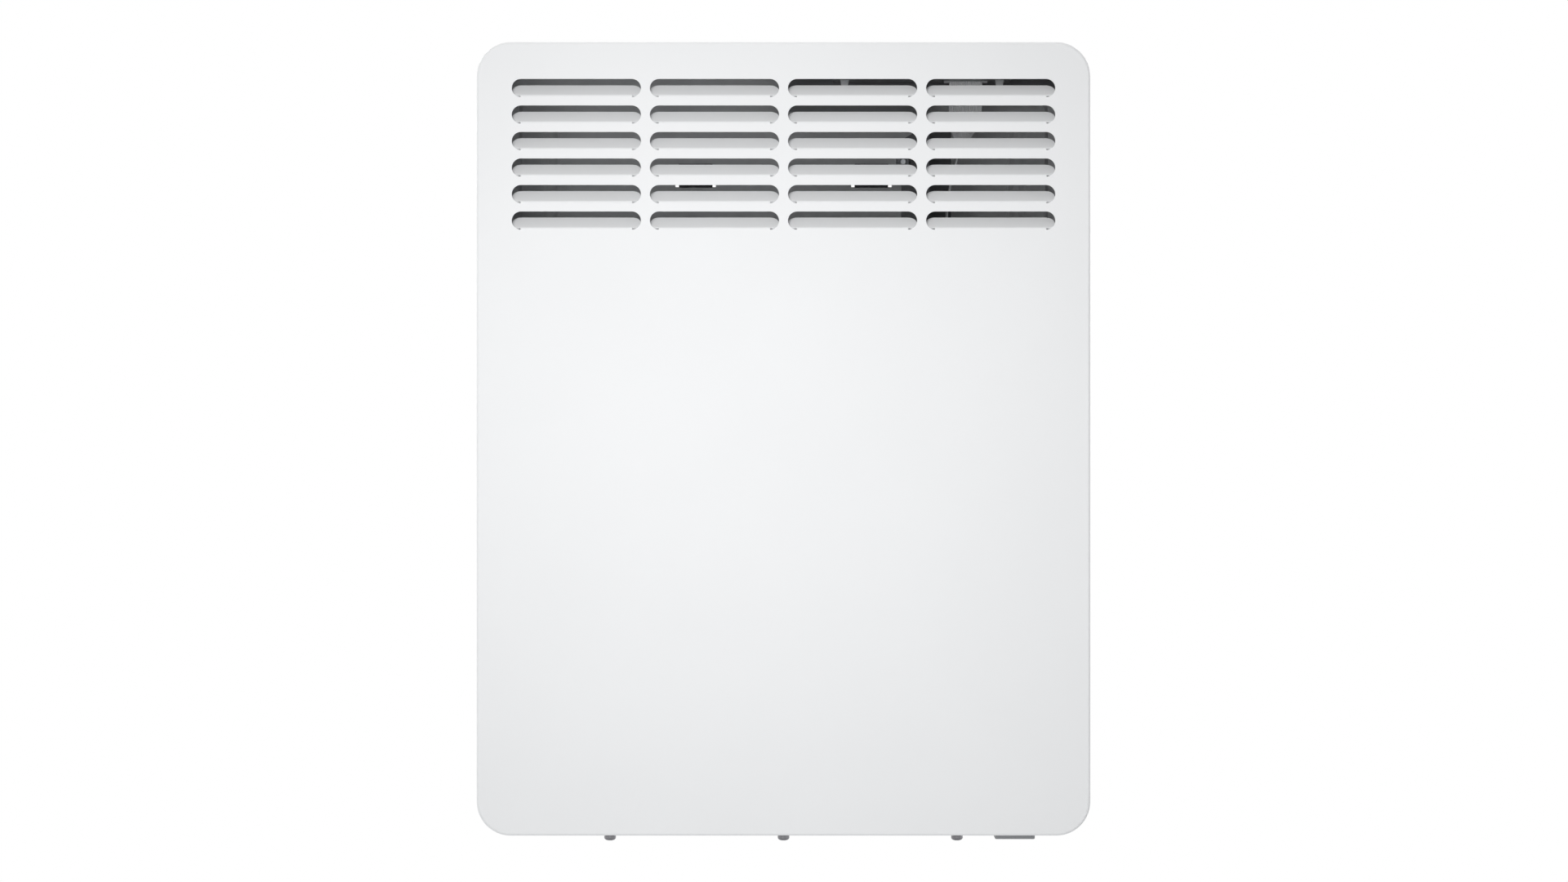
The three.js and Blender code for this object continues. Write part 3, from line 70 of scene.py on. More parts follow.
# Louvres: slots whose own sheet stays joined along the lower edge and is bent inwards.
LOUVRE_COLUMNS = 4
LOUVRE_ROWS = 6
LOUVRE_LENGTH = 73.2
LOUVRE_HEIGHT = 10.3
LOUVRE_PITCH_X = 78.3
LOUVRE_PITCH_Z = 15.03
FIRST_LOUVRE_DROP = 20.9
TONGUE_TILT = math.radians(50)
TONGUE_BEND_RADIUS = 1.87
TONGUE_KERF = 0.1
NOTCH_HEIGHT = 0.85
INTAKE_COLUMNS = 3
INTAKE_ROWS = 4
INTAKE_WIDTH = 6.0
INTAKE_PITCH = 10.5
INTAKE_FRONT_MARGIN = 9.0

# Rear panel.
REAR_SHEET = 0.8
RIM_SETBACK = 15.8
RIM_GAP = 0.3
PAN_SIDE_MARGIN = 18.2
PAN_END_MARGIN = 19.9
PAN_BACK_Y = -18.0
PAN_CORNER_RADIUS = 12.8
PAN_EDGE_RADIUS = 2.6
RIM_EDGE_RADIUS = 1.2
GLAND_HOLE = 15.4
BEAD_WIDTH = 11.9
BEAD_X = 136.55
BEAD_END_MARGIN = 14.8
BEAD_STEPS = ((0.9, 0.3), (1.0, 0.65), (1.1, 0.6), (1.2, 0.35), (1.1, 0.1))
WINDOW_SIZE = (23.7, 10.0)
WINDOW_RISE = 12.2
WINDOW_CORNER = 1.0
LOWER_WINDOW_EXTRA = 1.0
LOWER_RAIL_DROP = 240.0

# Wall bracket.
BRACKET_SHEET = 1.5
RAIL_HEIGHT = 25.4
RAIL_DEPTH = 16.2
RAIL_BEND = 1.6
HOOK_X = 51.5
HOOK_WIDTH = 19.7
HOOK_TIP_RISE = 4.0
HOOK_BEND = 1.4
SPINE_WIDTH = 50.0
SPINE_LAP = 1.5
WALL_SLOT = (12.0, 6.0)
WALL_SLOT_X = 75.0

# Heating rod.
ROD_RADIUS = 4.1

# Fasteners.
SCREW_SHANK = 1.75
SCREW_HOLE = (4.1, 4.1)
SCREW_THREAD_ROOT = 1.45
SCREW_GRIP_DEPTH = 0.3
RECESS_WIDTH = 3.6
RECESS_WING = 0.75
RECESS_DEPTH = 1.9
RECESS_TAPER = (0.35, 0.6, 1)
NUT_FLAT = 3.5
NUT_CORNER = 4.06
NUT_BORE = 2.0
NUT_WASHER_RADIUS = 4.3
NUT_WASHER_HEIGHT = 1.0
STUD_RADIUS = 1.9
STUD_LENGTH = 7.0

# Mains switch.
SWITCH_OPENING = (19.7, 27.4)
SWITCH_POCKET = (15.6, 24.8)
SWITCH_POCKET_DEPTH = 16.0
SWITCH_WALL = 0.9
SWITCH_FLARE = (1.012, 1.009, 1)

# Control unit.
FASCIA_SIZE = (96.0, 28.0)
FASCIA_CORNER = 3.0
FASCIA_GAP = 0.3
FLANGE_CORNER = 6.0
KEY_HOLE = (10.0, 7.0)
KEY_LIP = 0.9
KEY_LIP_DROP = 3.0
KEYS = ("standby", "mode", "down", "up")
LENS_HOLE = (30.4, 14.4)
LENS_SIGHT = (27.2, 11.2)
LEDGE_DROP = 1.4
HOUSING_WALL = 1.5
RIBBON_OPENING = (25.5, 6.6)
HEADER_SIZE = (24.9, 6.0)
HEADER_LEG_HEIGHT = 2.6
# Each leg of the header is two blocks: (size, distance from the middle, height of its centre).
HEADER_LEG_BLOCKS = (((3.0, 6.0, 1.6), 10.95, 2.34), ((2.1, 5.4, 2.6), 10.45, 3.74))
SHIELD_Z = 74.0
SHIELD_SIZE = (165.0, 54.0)
SHIELD_LIP = 12.0
SHIELD_FRONT_MARGIN = 9.5
SHIELD_SHEET = 0.6
SKIRT_SIZE = (88.0, 17.8)
SKIRT_OFFSET = -38.5
SKIRT_DROP = 9.9
SKIRT_GAP = 0.7
SNAP_HOOK_SIZE = (5.2, 3.0, 3.4)
SNAP_HOOK_TAPER = (0.72, 0.8, 1)
SNAP_HOOK_X = 44.4
SNAP_HOOK_FORWARD = 8.0

# Ribbon cable, with the heights between which it turns edge-on and drifts aside.
RIBBON_WAYS = 15
RIBBON_PITCH = 1.27
RIBBON_HALF_THICKNESS = 0.45
RIBBON_WEB = 0.14
RIBBON_SWELL = 0.62
RIBBON_TWIST_TOP = 57.0
RIBBON_TWIST_END = 26.0
RIBBON_DRIFT_TOP = 65.0
RIBBON_DRIFT_END = -16.0
RIBBON_STATIONS = 72

# Electronics carrier.
CARRIER_SHEET = 1.2
CARRIER_WALL_OFFSET = 16.2
CARRIER_STEP = 3.2
CARRIER_FOOT_REACH = 16.0
CARRIER_NUT_HOLE = 4.4
GROMMET_HOLE = 12.0
STANDOFF_INSET = 4.0


# ------------------------------------------------------------------ places
def box(node):
    """Lowest and highest corner of a CAD node at rest, in millimetres."""
    low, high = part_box(node)
    return low / MM, high / MM


def centre(node):
    low, high = box(node)
    return (low + high) / 2


def front_plane(y):
    """Turns the drawing plane up, so that (x, y) drawn becomes (x, z) at this depth and looks at the room."""
    return Matrix.Translation((0, y, 0)) @ Matrix.Rotation(QUARTER, 4, "X")


def back_plane(y):
    """The same plane, mirrored to look at the wall. It is drawn as (-x, z)."""
    return Matrix.Translation((0, y, 0)) @ Matrix.Rotation(QUARTER, 4, "X") @ Matrix.Rotation(math.pi, 4, "Y")


def side_plane(x):
    """Stands the drawing plane up along the depth, so that (x, y) drawn becomes (y, z) at this x."""
    return Matrix.Translation((x, 0, 0)) @ Matrix(((0, 0, 1, 0), (1, 0, 0, 0), (0, 1, 0, 0), (0, 0, 0, 1)))


def level(z):
    return Matrix.Translation((0, 0, z))


# ------------------------------------------------------------------ drawing and sheet work
def once(items):
    """The items without repeats, in their first order."""
    return list(dict.fromkeys(items))


def verts_of(geom):
    return once(v for g in geom for v in (g.verts if hasattr(g, "verts") else [g]))


def move(bm, geom, matrix):
    bmesh.ops.transform(bm, matrix=matrix, verts=verts_of(geom))


def plate(bm, width, height, radius=0.0, segments=8, at=(0, 0)):
    """A flat face in the XY plane that looks up, with its corners rounded by a vertex bevel."""
    known = set(bm.faces) | set(bm.verts)
    verts = bmesh.ops.create_grid(bm, x_segments=1, y_segments=1, size=0.5)["verts"]
    bmesh.ops.scale(bm, vec=(width, height, 1), verts=verts)
    if radius:
        reach = min(radius, width / 2 - 0.001, height / 2 - 0.001)
        bmesh.ops.bevel(
            bm, geom=verts, offset=reach, segments=segments, profile=0.5, affect="VERTICES", material=-1)
        bmesh.ops.remove_doubles(bm, verts=[v for v in bm.verts if v not in known], dist=0.005)
    face = next(f for f in bm.faces if f not in known)
    bmesh.ops.translate(bm, vec=(*at, 0), verts=face.verts[:])
    return face


def rims(bm, holes, segments=8):
    """The edges round holes in the XY plane, each hole (x, y, width, height, corner radius)."""
    edges = []
    for x, y, width, height, radius in holes:
        face = plate(bm, width, height, radius, segments, (x, y))
        edges += face.edges[:]
        bmesh.ops.delete(bm, geom=[face], context="FACES_ONLY")
    return edges


def pierce(bm, face, plane, holes, segments=8, edges=()):
    """Opens holes, drawn in that plane, through a flat face."""
    around = face.edges[:]
    bmesh.ops.delete(bm, geom=[face], context="FACES_ONLY")
    cut = rims(bm, holes, segments)
    move(bm, cut, plane)
    bmesh.ops.triangle_fill(bm, edges=around + cut + list(edges), use_beauty=True, use_dissolve=False)


def raise_edges(bm, edges, way):
    """Draws walls up from some edges and gives back the walls' far edges."""
    made = bmesh.ops.extrude_edge_only(bm, edges=edges)["geom"]
    bmesh.ops.translate(bm, vec=way, verts=[g for g in made if isinstance(g, bmesh.types.BMVert)])
    return [g for g in made if isinstance(g, bmesh.types.BMEdge) and len(g.link_faces) == 1]


def round_edges(bm, edges, radius, segments=4):
    bmesh.ops.bevel(
        bm, geom=edges, offset=radius, segments=segments, profile=0.5, affect="EDGES", material=-1)


def flat_face(bm, way):
    """The largest face that looks in a direction."""
    bm.normal_update()
    facing = [f for f in bm.faces if f.normal.dot(Vector(way)) > 0.99]
    return max(facing, key=lambda f: f.calc_area())


def weld(bm, way=None):
    """Merges doubles and turns the faces one way: outwards, or so that the largest looks in a direction."""
    bmesh.ops.remove_doubles(bm, verts=bm.verts[:], dist=0.01)
    bmesh.ops.dissolve_degenerate(bm, dist=0.005, edges=bm.edges[:])
    bmesh.ops.recalc_face_normals(bm, faces=bm.faces[:])
    if way is not None:
        largest = max(bm.faces, key=lambda f: f.calc_area())
        if largest.normal.dot(Vector(way)) < 0:
            bmesh.ops.reverse_faces(bm, faces=bm.faces[:])


def raised(bm, face, height):
    """Draws a face up into a closed block and gives back its base edges and its far vertices."""
    base = face.edges[:]
    made = bmesh.ops.extrude_face_region(bm, geom=[face])["geom"]
    far = [g for g in made if isinstance(g, bmesh.types.BMVert)]
    bmesh.ops.translate(bm, vec=(0, 0, height), verts=far)
    if any(len(e.link_faces) == 1 for e in base):
        bmesh.ops.contextual_create(bm, geom=base)
    return base, far


def slab(bm, size, at, radius=0.0, edge=0.0, segments=4):
    """A block with rounded upright corners and broken top and bottom edges. Its place is its centre."""
    base, far = raised(bm, plate(bm, size[0], size[1], radius, segments), size[2])
    near = verts_of(base)
    bmesh.ops.translate(bm, vec=Vector(at) - Vector((0, 0, size[2] / 2)), verts=near + far)
    if edge:
        tops = set(far)
        upper = [e for e in once(e for v in far for e in v.link_edges) if set(e.verts) <= tops]
        round_edges(bm, upper + base, edge, 3)


def turned(bm, profile, matrix, steps=48, soften=0.0):
    """A piece turned about its own Z axis from a profile of (radius, height) points."""
    known = set(bm.verts) | set(bm.edges)
    verts = [bm.verts.new((radius, 0, height)) for radius, height in profile]
    for pair in zip(verts, verts[1:]):
        bm.edges.new(pair)
    if soften:
        inner = [v for v in verts[1:-1] if v.co.x > soften]
        bmesh.ops.bevel(
            bm, geom=inner, offset=soften, segments=3, profile=0.5, affect="VERTICES", material=-1)
    line = [g for group in (bm.verts, bm.edges) for g in group if g not in known]
    bmesh.ops.spin(
        bm, geom=line, axis=(0, 0, 1), cent=(0, 0, 0), angle=2 * math.pi, steps=steps, use_merge=True)
    bmesh.ops.remove_doubles(bm, verts=[v for v in bm.verts if v not in known], dist=0.001)
    bmesh.ops.transform(bm, matrix=matrix, verts=[v for v in bm.verts if v not in known])


def folded(bm, corners, radius, span):
    """A sheet folded along X from its section's corners in (y, z), with every bend rounded."""
    verts = [bm.verts.new((span[0], y, z)) for y, z in corners]
    edges = [bm.edges.new(pair) for pair in zip(verts, verts[1:])]
    made = bmesh.ops.extrude_edge_only(bm, edges=edges)["geom"]
    far = [g for g in made if isinstance(g, bmesh.types.BMVert)]
    bmesh.ops.translate(bm, vec=(span[1] - span[0], 0, 0), verts=far)
    faces = [g for g in made if isinstance(g, bmesh.types.BMFace)]
    bends = [e for e in once(e for f in faces for e in f.edges) if len(e.link_faces) == 2]
    round_edges(bm, bends, radius)


# ------------------------------------------------------------------ pieces
def evaluated(mesh, steps):
    """A mesh after a list of modifiers, each (kind, settings)."""
    holder = bpy.data.objects.new("holder", mesh)
    bpy.context.scene.collection.objects.link(holder)
    for kind, settings in steps:
        modifier = holder.modifiers.new(kind, kind)
        for key, value in settings.items():
            setattr(modifier, key, value)
    depsgraph = bpy.context.evaluated_depsgraph_get()
    result = bpy.data.meshes.new_from_object(holder.evaluated_get(depsgraph))
    bpy.data.objects.remove(holder)
    return result


def sheet_of(thickness):
    return ("SOLIDIFY", {"thickness": thickness, "offset": -1})


def broken_edges(width, segments=2):
    return ("BEVEL", {
        "width": width, "segments": segments, "limit_method": "ANGLE", "angle_limit": math.radians(40)})


def piece(name, bm, finish, body, steps=(), replaces=(), sharp=34):
    """Turns a shape in millimetres into a finished piece that rides on a body."""
    mesh = bpy.data.meshes.new(name)
    bm.to_mesh(mesh)
    bm.free()
    mesh = evaluated(mesh, steps)
    mesh.shade_smooth()
    mesh.set_sharp_from_angle(angle=math.radians(sharp))
    mesh = evaluated(mesh, [("WEIGHTED_NORMAL", {"keep_sharp": True, "weight": 100})])
    mesh.transform(Matrix.Scale(MM, 4))
    mesh.name = name
    mesh.materials.clear()
    mesh.materials.append(finish)
    made = bpy.data.objects.new(name, mesh)
    bpy.context.scene.collection.objects.link(made)
    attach(made, body)
    if replaces:
        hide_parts(*replaces)


def copied(node):
    """A CAD node's own shape in millimetres, merged into clean flat faces."""
    bm = bmesh.new()
    bm.from_mesh(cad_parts[node].data)
    bmesh.ops.scale(bm, vec=(1 / MM,) * 3, verts=bm.verts[:])
    bmesh.ops.remove_doubles(bm, verts=bm.verts[:], dist=0.01)
    bmesh.ops.dissolve_limit(bm, angle_limit=math.radians(1), verts=bm.verts[:], edges=bm.edges[:])
    return bm


def softened(node, name, finish, width, body="heater"):
    """A moulded or pressed copy of a CAD piece with its edges broken."""
    piece(name, copied(node), finish, body, [broken_edges(width)], [node])


# ------------------------------------------------------------------ finishes
def linear(hex_colour):
    """An sRGB hex colour as linear RGBA."""
    parts = [int(hex_colour[i:i + 2], 16) / 255 for i in (1, 3, 5)]
    return (*[c / 12.92 if c <= 0.04045 else ((c + 0.055) / 1.055) ** 2.4 for c in parts], 1.0)


def add(tree, kind, inputs=None, **settings):
    """A node with its settings, and its inputs set to values or linked to other nodes' sockets."""
    node = tree.nodes.new(kind)
    for key, value in settings.items():
        setattr(node, key, value)
    for key, value in (inputs or {}).items():
        if isinstance(value, bpy.types.NodeSocket):
            tree.links.new(value, node.inputs[key])
        else:
            node.inputs[key].default_value = value
    return node


def new_finish(name):
    material = bpy.data.materials.new(name)
    material.use_nodes = True
    tree = material.node_tree
    tree.nodes.clear()
    return material, tree, add(tree, "ShaderNodeTexCoord").outputs["Object"]


def surface(tree, inputs):
    shader = add(tree, "ShaderNodeBsdfPrincipled", inputs)
    add(tree, "ShaderNodeOutputMaterial", {"Surface": shader.outputs["BSDF"]})


def per_metre(size_mm):
    """A texture scale whose features are about this many millimetres across."""
    return 1 / (size_mm * MM)


def powder_coat(name, colour, shade, roughness=0.5, peel=0.9, depth=0.012):
    """Polyester powder baked on steel: satin, with the fine orange peel of the melted grains."""
    material, tree, place = new_finish(name)
    grains = add(tree, "ShaderNodeTexNoise", {"Vector": place, "Scale": per_metre(peel), "Detail": 3.0})
    # Film thickness drifts over a few centimetres and lifts the tone very slightly.
    drift = add(tree, "ShaderNodeTexNoise", {"Vector": place, "Scale": per_metre(60), "Detail": 2.0})
    tone = add(tree, "ShaderNodeMix", {
        0: drift.outputs["Fac"], 6: linear(shade), 7: linear(colour)}, data_type="RGBA")
    gloss = add(tree, "ShaderNodeMapRange", {
        "Value": grains.outputs["Fac"], "To Min": roughness - 0.05, "To Max": roughness + 0.07})
    peel_bump = add(tree, "ShaderNodeBump", {
        "Height": grains.outputs["Fac"], "Strength": 0.35, "Distance": depth * MM})
    surface(tree, {
        "Base Color": tone.outputs[2], "Roughness": gloss.outputs[0], "Normal": peel_bump.outputs[0],
        "Specular IOR Level": 0.4})
    return material


def plated_steel(name, colour, shade, roughness=0.34):
    """Electroplated steel: bright, with a soft cloud where the plating was passivated."""
    material, tree, place = new_finish(name)
    cloud = add(tree, "ShaderNodeTexNoise", {"Vector": place, "Scale": per_metre(5), "Detail": 4.0})
    tone = add(tree, "ShaderNodeMix", {
        0: cloud.outputs["Fac"], 6: linear(shade), 7: linear(colour)}, data_type="RGBA")
    gloss = add(tree, "ShaderNodeMapRange", {
        "Value": cloud.outputs["Fac"], "To Min": roughness - 0.08, "To Max": roughness + 0.12})
    grain = add(tree, "ShaderNodeTexNoise", {"Vector": place, "Scale": per_metre(0.4), "Detail": 2.0})
    bump = add(tree, "ShaderNodeBump", {
        "Height": grain.outputs["Fac"], "Strength": 0.25, "Distance": 0.01 * MM})
    surface(tree, {
        "Base Color": tone.outputs[2], "Metallic": 1.0, "Roughness": gloss.outputs[0],
        "Normal": bump.outputs[0]})
    return material


def drawn_metal(name, colour, shade, roughness, line=0.25):
    """Extruded or drawn metal: die lines run along X, a quarter of a millimetre apart."""
    material, tree, place = new_finish(name)
    along = add(tree, "ShaderNodeMapping", {"Vector": place, "Scale": (0.02, 1.0, 1.0)})
    lines = add(tree, "ShaderNodeTexNoise", {
        "Vector": along.outputs[0], "Scale": per_metre(line), "Detail": 3.0})
    tone = add(tree, "ShaderNodeMix", {
        0: lines.outputs["Fac"], 6: linear(shade), 7: linear(colour)}, data_type="RGBA")
    bump = add(tree, "ShaderNodeBump", {
        "Height": lines.outputs["Fac"], "Strength": 0.4, "Distance": 0.02 * MM})
    surface(tree, {
        "Base Color": tone.outputs[2], "Metallic": 1.0, "Roughness": roughness, "Normal": bump.outputs[0]})
    return material


def moulded(name, colour, shade, roughness=0.45, texture=0.35, depth=0.015):
    """Injection moulded plastic: an even spark-eroded texture, and flow marks that barely shift the tone."""
    material, tree, place = new_finish(name)
    flow = add(tree, "ShaderNodeTexNoise", {
        "Vector": place, "Scale": per_metre(18), "Detail": 2.0, "Distortion": 0.6})
    tone = add(tree, "ShaderNodeMix", {
        0: flow.outputs["Fac"], 6: linear(shade), 7: linear(colour)}, data_type="RGBA")
    pits = add(tree, "ShaderNodeTexVoronoi", {"Vector": place, "Scale": per_metre(texture)})
    bump = add(tree, "ShaderNodeBump", {
        "Height": pits.outputs["Distance"], "Strength": 0.3, "Distance": depth * MM})
    gloss = add(tree, "ShaderNodeMapRange", {
        "Value": flow.outputs["Fac"], "To Min": roughness - 0.04, "To Max": roughness + 0.06})
    surface(tree, {
        "Base Color": tone.outputs[2], "Roughness": gloss.outputs[0], "Normal": bump.outputs[0]})
    return material


def solder_mask():
    """Glass epoxy board: green mask with lighter copper tracks under it, 1.3 mm apart."""
    material, tree, place = new_finish("green_solder_mask")
    tracks = add(tree, "ShaderNodeTexBrick", {
        "Vector": place, "Color1": linear("#1D5533"), "Color2": linear("#235F3A"),
        "Mortar": linear("#2F7A4B"), "Scale": 1.0, "Mortar Size": 0.35 * MM,
        "Brick Width": 6.4 * MM, "Row Height": 1.3 * MM})
    mask = add(tree, "ShaderNodeTexNoise", {"Vector": place, "Scale": per_metre(9), "Detail": 2.0})
    gloss = add(tree, "ShaderNodeMapRange", {"Value": mask.outputs["Fac"], "To Min": 0.22, "To Max": 0.38})
    bump = add(tree, "ShaderNodeBump", {
        "Height": tracks.outputs["Fac"], "Strength": 0.3, "Distance": 0.035 * MM})
    surface(tree, {
        "Base Color": tracks.outputs["Color"], "Roughness": gloss.outputs[0], "Normal": bump.outputs[0]})
    return material


def smoked_lens():
    """Smoked acrylic: almost black, glossy, with faint handling haze in its gloss."""
    material, tree, place = new_finish("smoked_acrylic")
    haze = add(tree, "ShaderNodeTexNoise", {"Vector": place, "Scale": per_metre(7), "Detail": 4.0})
    gloss = add(tree, "ShaderNodeMapRange", {"Value": haze.outputs["Fac"], "To Min": 0.05, "To Max": 0.16})
    tone = add(tree, "ShaderNodeMix", {
        0: haze.outputs["Fac"], 6: linear("#101114"), 7: linear("#17181C")}, data_type="RGBA")
    surface(tree, {
        "Base Color": tone.outputs[2], "Roughness": gloss.outputs[0], "IOR": 1.49,
        "Coat Weight": 0.4, "Coat Roughness": 0.05})
    return material


def striped_insulation():
    """Green PVC with the yellow stripe of an earth wire, which comes round every 17.7 mm of its lead."""
    material, tree, place = new_finish("green_yellow_pvc")
    # A diagonal wave repeats after 2 pi / 10 of its scaled length.
    stripe = add(tree, "ShaderNodeTexWave", {
        "Vector": place, "Scale": per_metre(17.67) * 2 * math.pi / 10, "Distortion": 0.4},
        bands_direction="DIAGONAL")
    edge = add(tree, "ShaderNodeMapRange", {
        "Value": stripe.outputs["Fac"], "From Min": 0.45, "From Max": 0.55})
    tone = add(tree, "ShaderNodeMix", {
        0: edge.outputs[0], 6: linear("#4F8A36"), 7: linear("#D7C640")}, data_type="RGBA")
    surface(tree, {"Base Color": tone.outputs[2], "Roughness": 0.5})
    return material


# The casing is a satin white; the primed rear sheet behind the louvres is flatter and greyer.
WHITE_COAT = powder_coat("white_powder_coat", "#F4F5F6", "#F1F2F3", 0.48)
REAR_COAT = powder_coat("grey_primed_sheet", "#CECFD1", "#C7C8CA", 0.55, 0.8)
# The bracket is black; the carrier's black sheet is painted mid grey, lighter than it is, to stand for light
# in the shade beside the partition: painted light.
# The bracket's coat is black, and its near-black tone also paints the deep shade behind the panel that the
# hooks show through the rear windows: painted shade.
BRACKET_COAT = powder_coat("near_black_bracket_coat_and_shade", "#121315", "#0F1011", 0.5)
CARRIER_COAT = powder_coat("carrier_coat_lightened_for_shade", "#7E7F82", "#76777A", 0.55)
# Zinc stays bright and cold; the nuts are blackened and the screws nickel dark.
ZINC = plated_steel("zinc_plated_steel", "#C2C5C8", "#A9ACAF")
NUT_STEEL = plated_steel("blackened_nut_steel", "#77797C", "#5F6163", 0.42)
SCREW_STEEL = plated_steel("dark_nickel_screw", "#9A999D", "#7A797C", 0.3)
# Extruded fins glint along their die lines, and the rod's sheath is warmer and finer.
FIN_ALUMINIUM = drawn_metal("extruded_aluminium", "#C6C8CA", "#AEB0B2", 0.42)
SHEATH = drawn_metal("stainless_sheath", "#A19F9B", "#86847F", 0.33, 0.15)
# Plastics differ in tone and gloss: ABS outside, polyamide where it is warm.
GREY_PLASTIC = moulded("light_grey_abs", "#A2A3A6", "#9C9DA0")
HEADER_PLASTIC = moulded("grey_polyamide", "#C2C3C5", "#B9BABC")
# This dark grey is the control box's own colour, and it also paints shade on the sheet round the control
# unit.
HOUSING_AND_SHADE_PLASTIC = moulded("dark_grey_abs_and_painted_shade", "#707174", "#67686A")
WHITE_PLASTIC = moulded("white_abs", "#ECEDEE", "#E6E7E8", 0.4)
BLACK_PLASTIC = moulded("black_polyamide", "#202123", "#191A1B", 0.42)
CREAM_PLASTIC = moulded("natural_polyamide", "#DAD8CC", "#CFCDC0", 0.5)
# Silicone is dull and rubbery, PVC a little waxy.
SILICONE = moulded("red_brown_silicone", "#A9512F", "#97452A", 0.62, 0.6)
RIBBON_PVC = moulded("grey_ribbon_pvc", "#EDEEEF", "#E6E7E8", 0.5, 0.8, 0.006)
BROWN_PVC = moulded("brown_pvc", "#6A4128", "#5E3922", 0.45, 0.6)
BLUE_PVC = moulded("blue_pvc", "#2D5F9C", "#27548B", 0.45, 0.6)
GREY_PVC = moulded("grey_pvc", "#9A9C9E", "#8E9092", 0.45, 0.6)
MARK_INK = moulded("grey_pad_print", "#6C6D70", "#646568", 0.6, 0.8, 0.003)
EARTH_PVC = striped_insulation()
BOARD = solder_mask()
LENS = smoked_lens()


# ------------------------------------------------------------------ front cover
def tongue_bend(co):
    """Where a point of the flat tongue goes when the tongue is bent inwards about its lower edge."""
    neutral = TONGUE_BEND_RADIUS - COVER_SHEET / 2
    rise = max(co.z, 0.0)
    angle = min(rise / neutral, TONGUE_TILT)
    past = max(rise - neutral * TONGUE_TILT, 0.0)
    inward = TONGUE_BEND_RADIUS * (1 - math.cos(angle)) + past * math.sin(angle)
    upward = TONGUE_BEND_RADIUS * math.sin(angle) + past * math.cos(angle)
    return Vector((co.x, co.y + inward, upward))


def tongue():
    """One louvre tongue as a mesh: drawn flat, relieved at its lower corners, then bent."""
    bm = bmesh.new()
    width, height = LOUVRE_LENGTH - TONGUE_KERF, LOUVRE_HEIGHT - TONGUE_KERF
    face = plate(bm, width, height, height / 2, 12, (0, height / 2))
    move(bm, [face], front_plane(0))
    bend_end = (TONGUE_BEND_RADIUS - COVER_SHEET / 2) * TONGUE_TILT
    levels = [bend_end * i / 5 for i in range(1, 6)] + [bend_end + 3, bend_end + 6]
    for z in levels:
        cut_by(bm, (0, 0, z), (0, 0, 1))
    notch = (width - height) / 2 + 0.15
    cut_by(bm, (0, 0, NOTCH_HEIGHT), (0, 0, 1))
    for side in (-1, 1):
        cut_by(bm, (side * notch, 0, 0), (1, 0, 0))
    middles = [(f, f.calc_center_median()) for f in bm.faces]
    spare = [f for f, middle in middles if abs(middle.x) > notch and middle.z < NOTCH_HEIGHT]
    bmesh.ops.delete(bm, geom=spare, context="FACES")
    for v in bm.verts:
        v.co = tongue_bend(v.co)
    mesh = bpy.data.meshes.new("tongue")
    bm.to_mesh(mesh)
    bm.free()
    return mesh


def cut_by(bm, point, normal):
    geom = bm.verts[:] + bm.edges[:] + bm.faces[:]
    bmesh.ops.bisect_plane(bm, geom=geom, dist=0.001, plane_co=point, plane_no=normal)


def louvre_places():
    top = box("front_cover")[1].z - FIRST_LOUVRE_DROP - LOUVRE_HEIGHT / 2
    left = -LOUVRE_PITCH_X * (LOUVRE_COLUMNS - 1) / 2
    return [
        (left + column * LOUVRE_PITCH_X, top - row * LOUVRE_PITCH_Z)
        for row in range(LOUVRE_ROWS) for column in range(LOUVRE_COLUMNS)]


def stamp(bm, mesh, places):
    """Copies a mesh to each place."""
    for place in places:
        known = set(bm.verts)
        bm.from_mesh(mesh)
        bmesh.ops.translate(bm, vec=place, verts=[v for v in bm.verts if v not in known])


def front_cover():
    low, high = box("front_cover")
    middle = (low + high) / 2
    bm = bmesh.new()
    face = plate(bm, high.x - low.x, high.z - low.z, CORNER_RADIUS, 14, (middle.x, middle.z))
    move(bm, [face], front_plane(low.y))
    rim = face.edges[:]
    raise_edges(bm, rim, (0, high.y - low.y, 0))
    round_edges(bm, rim, FRONT_EDGE_RADIUS, 6)

    places = louvre_places()
    slots = [(x, z, LOUVRE_LENGTH, LOUVRE_HEIGHT, LOUVRE_HEIGHT / 2) for x, z in places]
    front = flat_face(bm, (0, -1, 0))
    bmesh.ops.inset_region(bm, faces=[front], thickness=4, use_even_offset=True)
    pierce(bm, flat_face(bm, (0, -1, 0)), front_plane(low.y), slots, 12)

    fascia = centre("control_fascia")
    pierce(
        bm, flat_face(bm, (0, 0, 1)), level(high.z),
        [(fascia.x, fascia.y, *FASCIA_SIZE, FASCIA_CORNER)], 6)
    pierce(bm, flat_face(bm, (0, 0, -1)), level(low.z), bottom_holes(low))

    tongue_mesh = tongue()
    stamp(bm, tongue_mesh, [(x, low.y, z - LOUVRE_HEIGHT / 2) for x, z in places])
    weld(bm, (0, -1, 0))
    piece(
        "powder_coated_cover", bm, WHITE_COAT, "heater",
        [sheet_of(COVER_SHEET)], ["front_cover"])


def bottom_holes(low):
    """Air intake slots, the switch opening and the cover screws' holes in the casing's underside."""
    switch = centre("mains_switch_body")
    left = -LOUVRE_PITCH_X * (LOUVRE_COLUMNS - 1) / 2
    holes = [
        (left + column * LOUVRE_PITCH_X, low.y + INTAKE_FRONT_MARGIN + row * INTAKE_PITCH,
         LOUVRE_LENGTH, INTAKE_WIDTH, INTAKE_WIDTH / 2)
        for column in range(INTAKE_COLUMNS) for row in range(INTAKE_ROWS)]
    holes.append((switch.x, switch.y, *SWITCH_OPENING, 0.6))
    for name in ("left", "middle", "right"):
        screw = centre(f"cover_screw_{name}")
        holes.append((screw.x, screw.y, *SCREW_HOLE, SCREW_HOLE[0] / 2))
    return holes


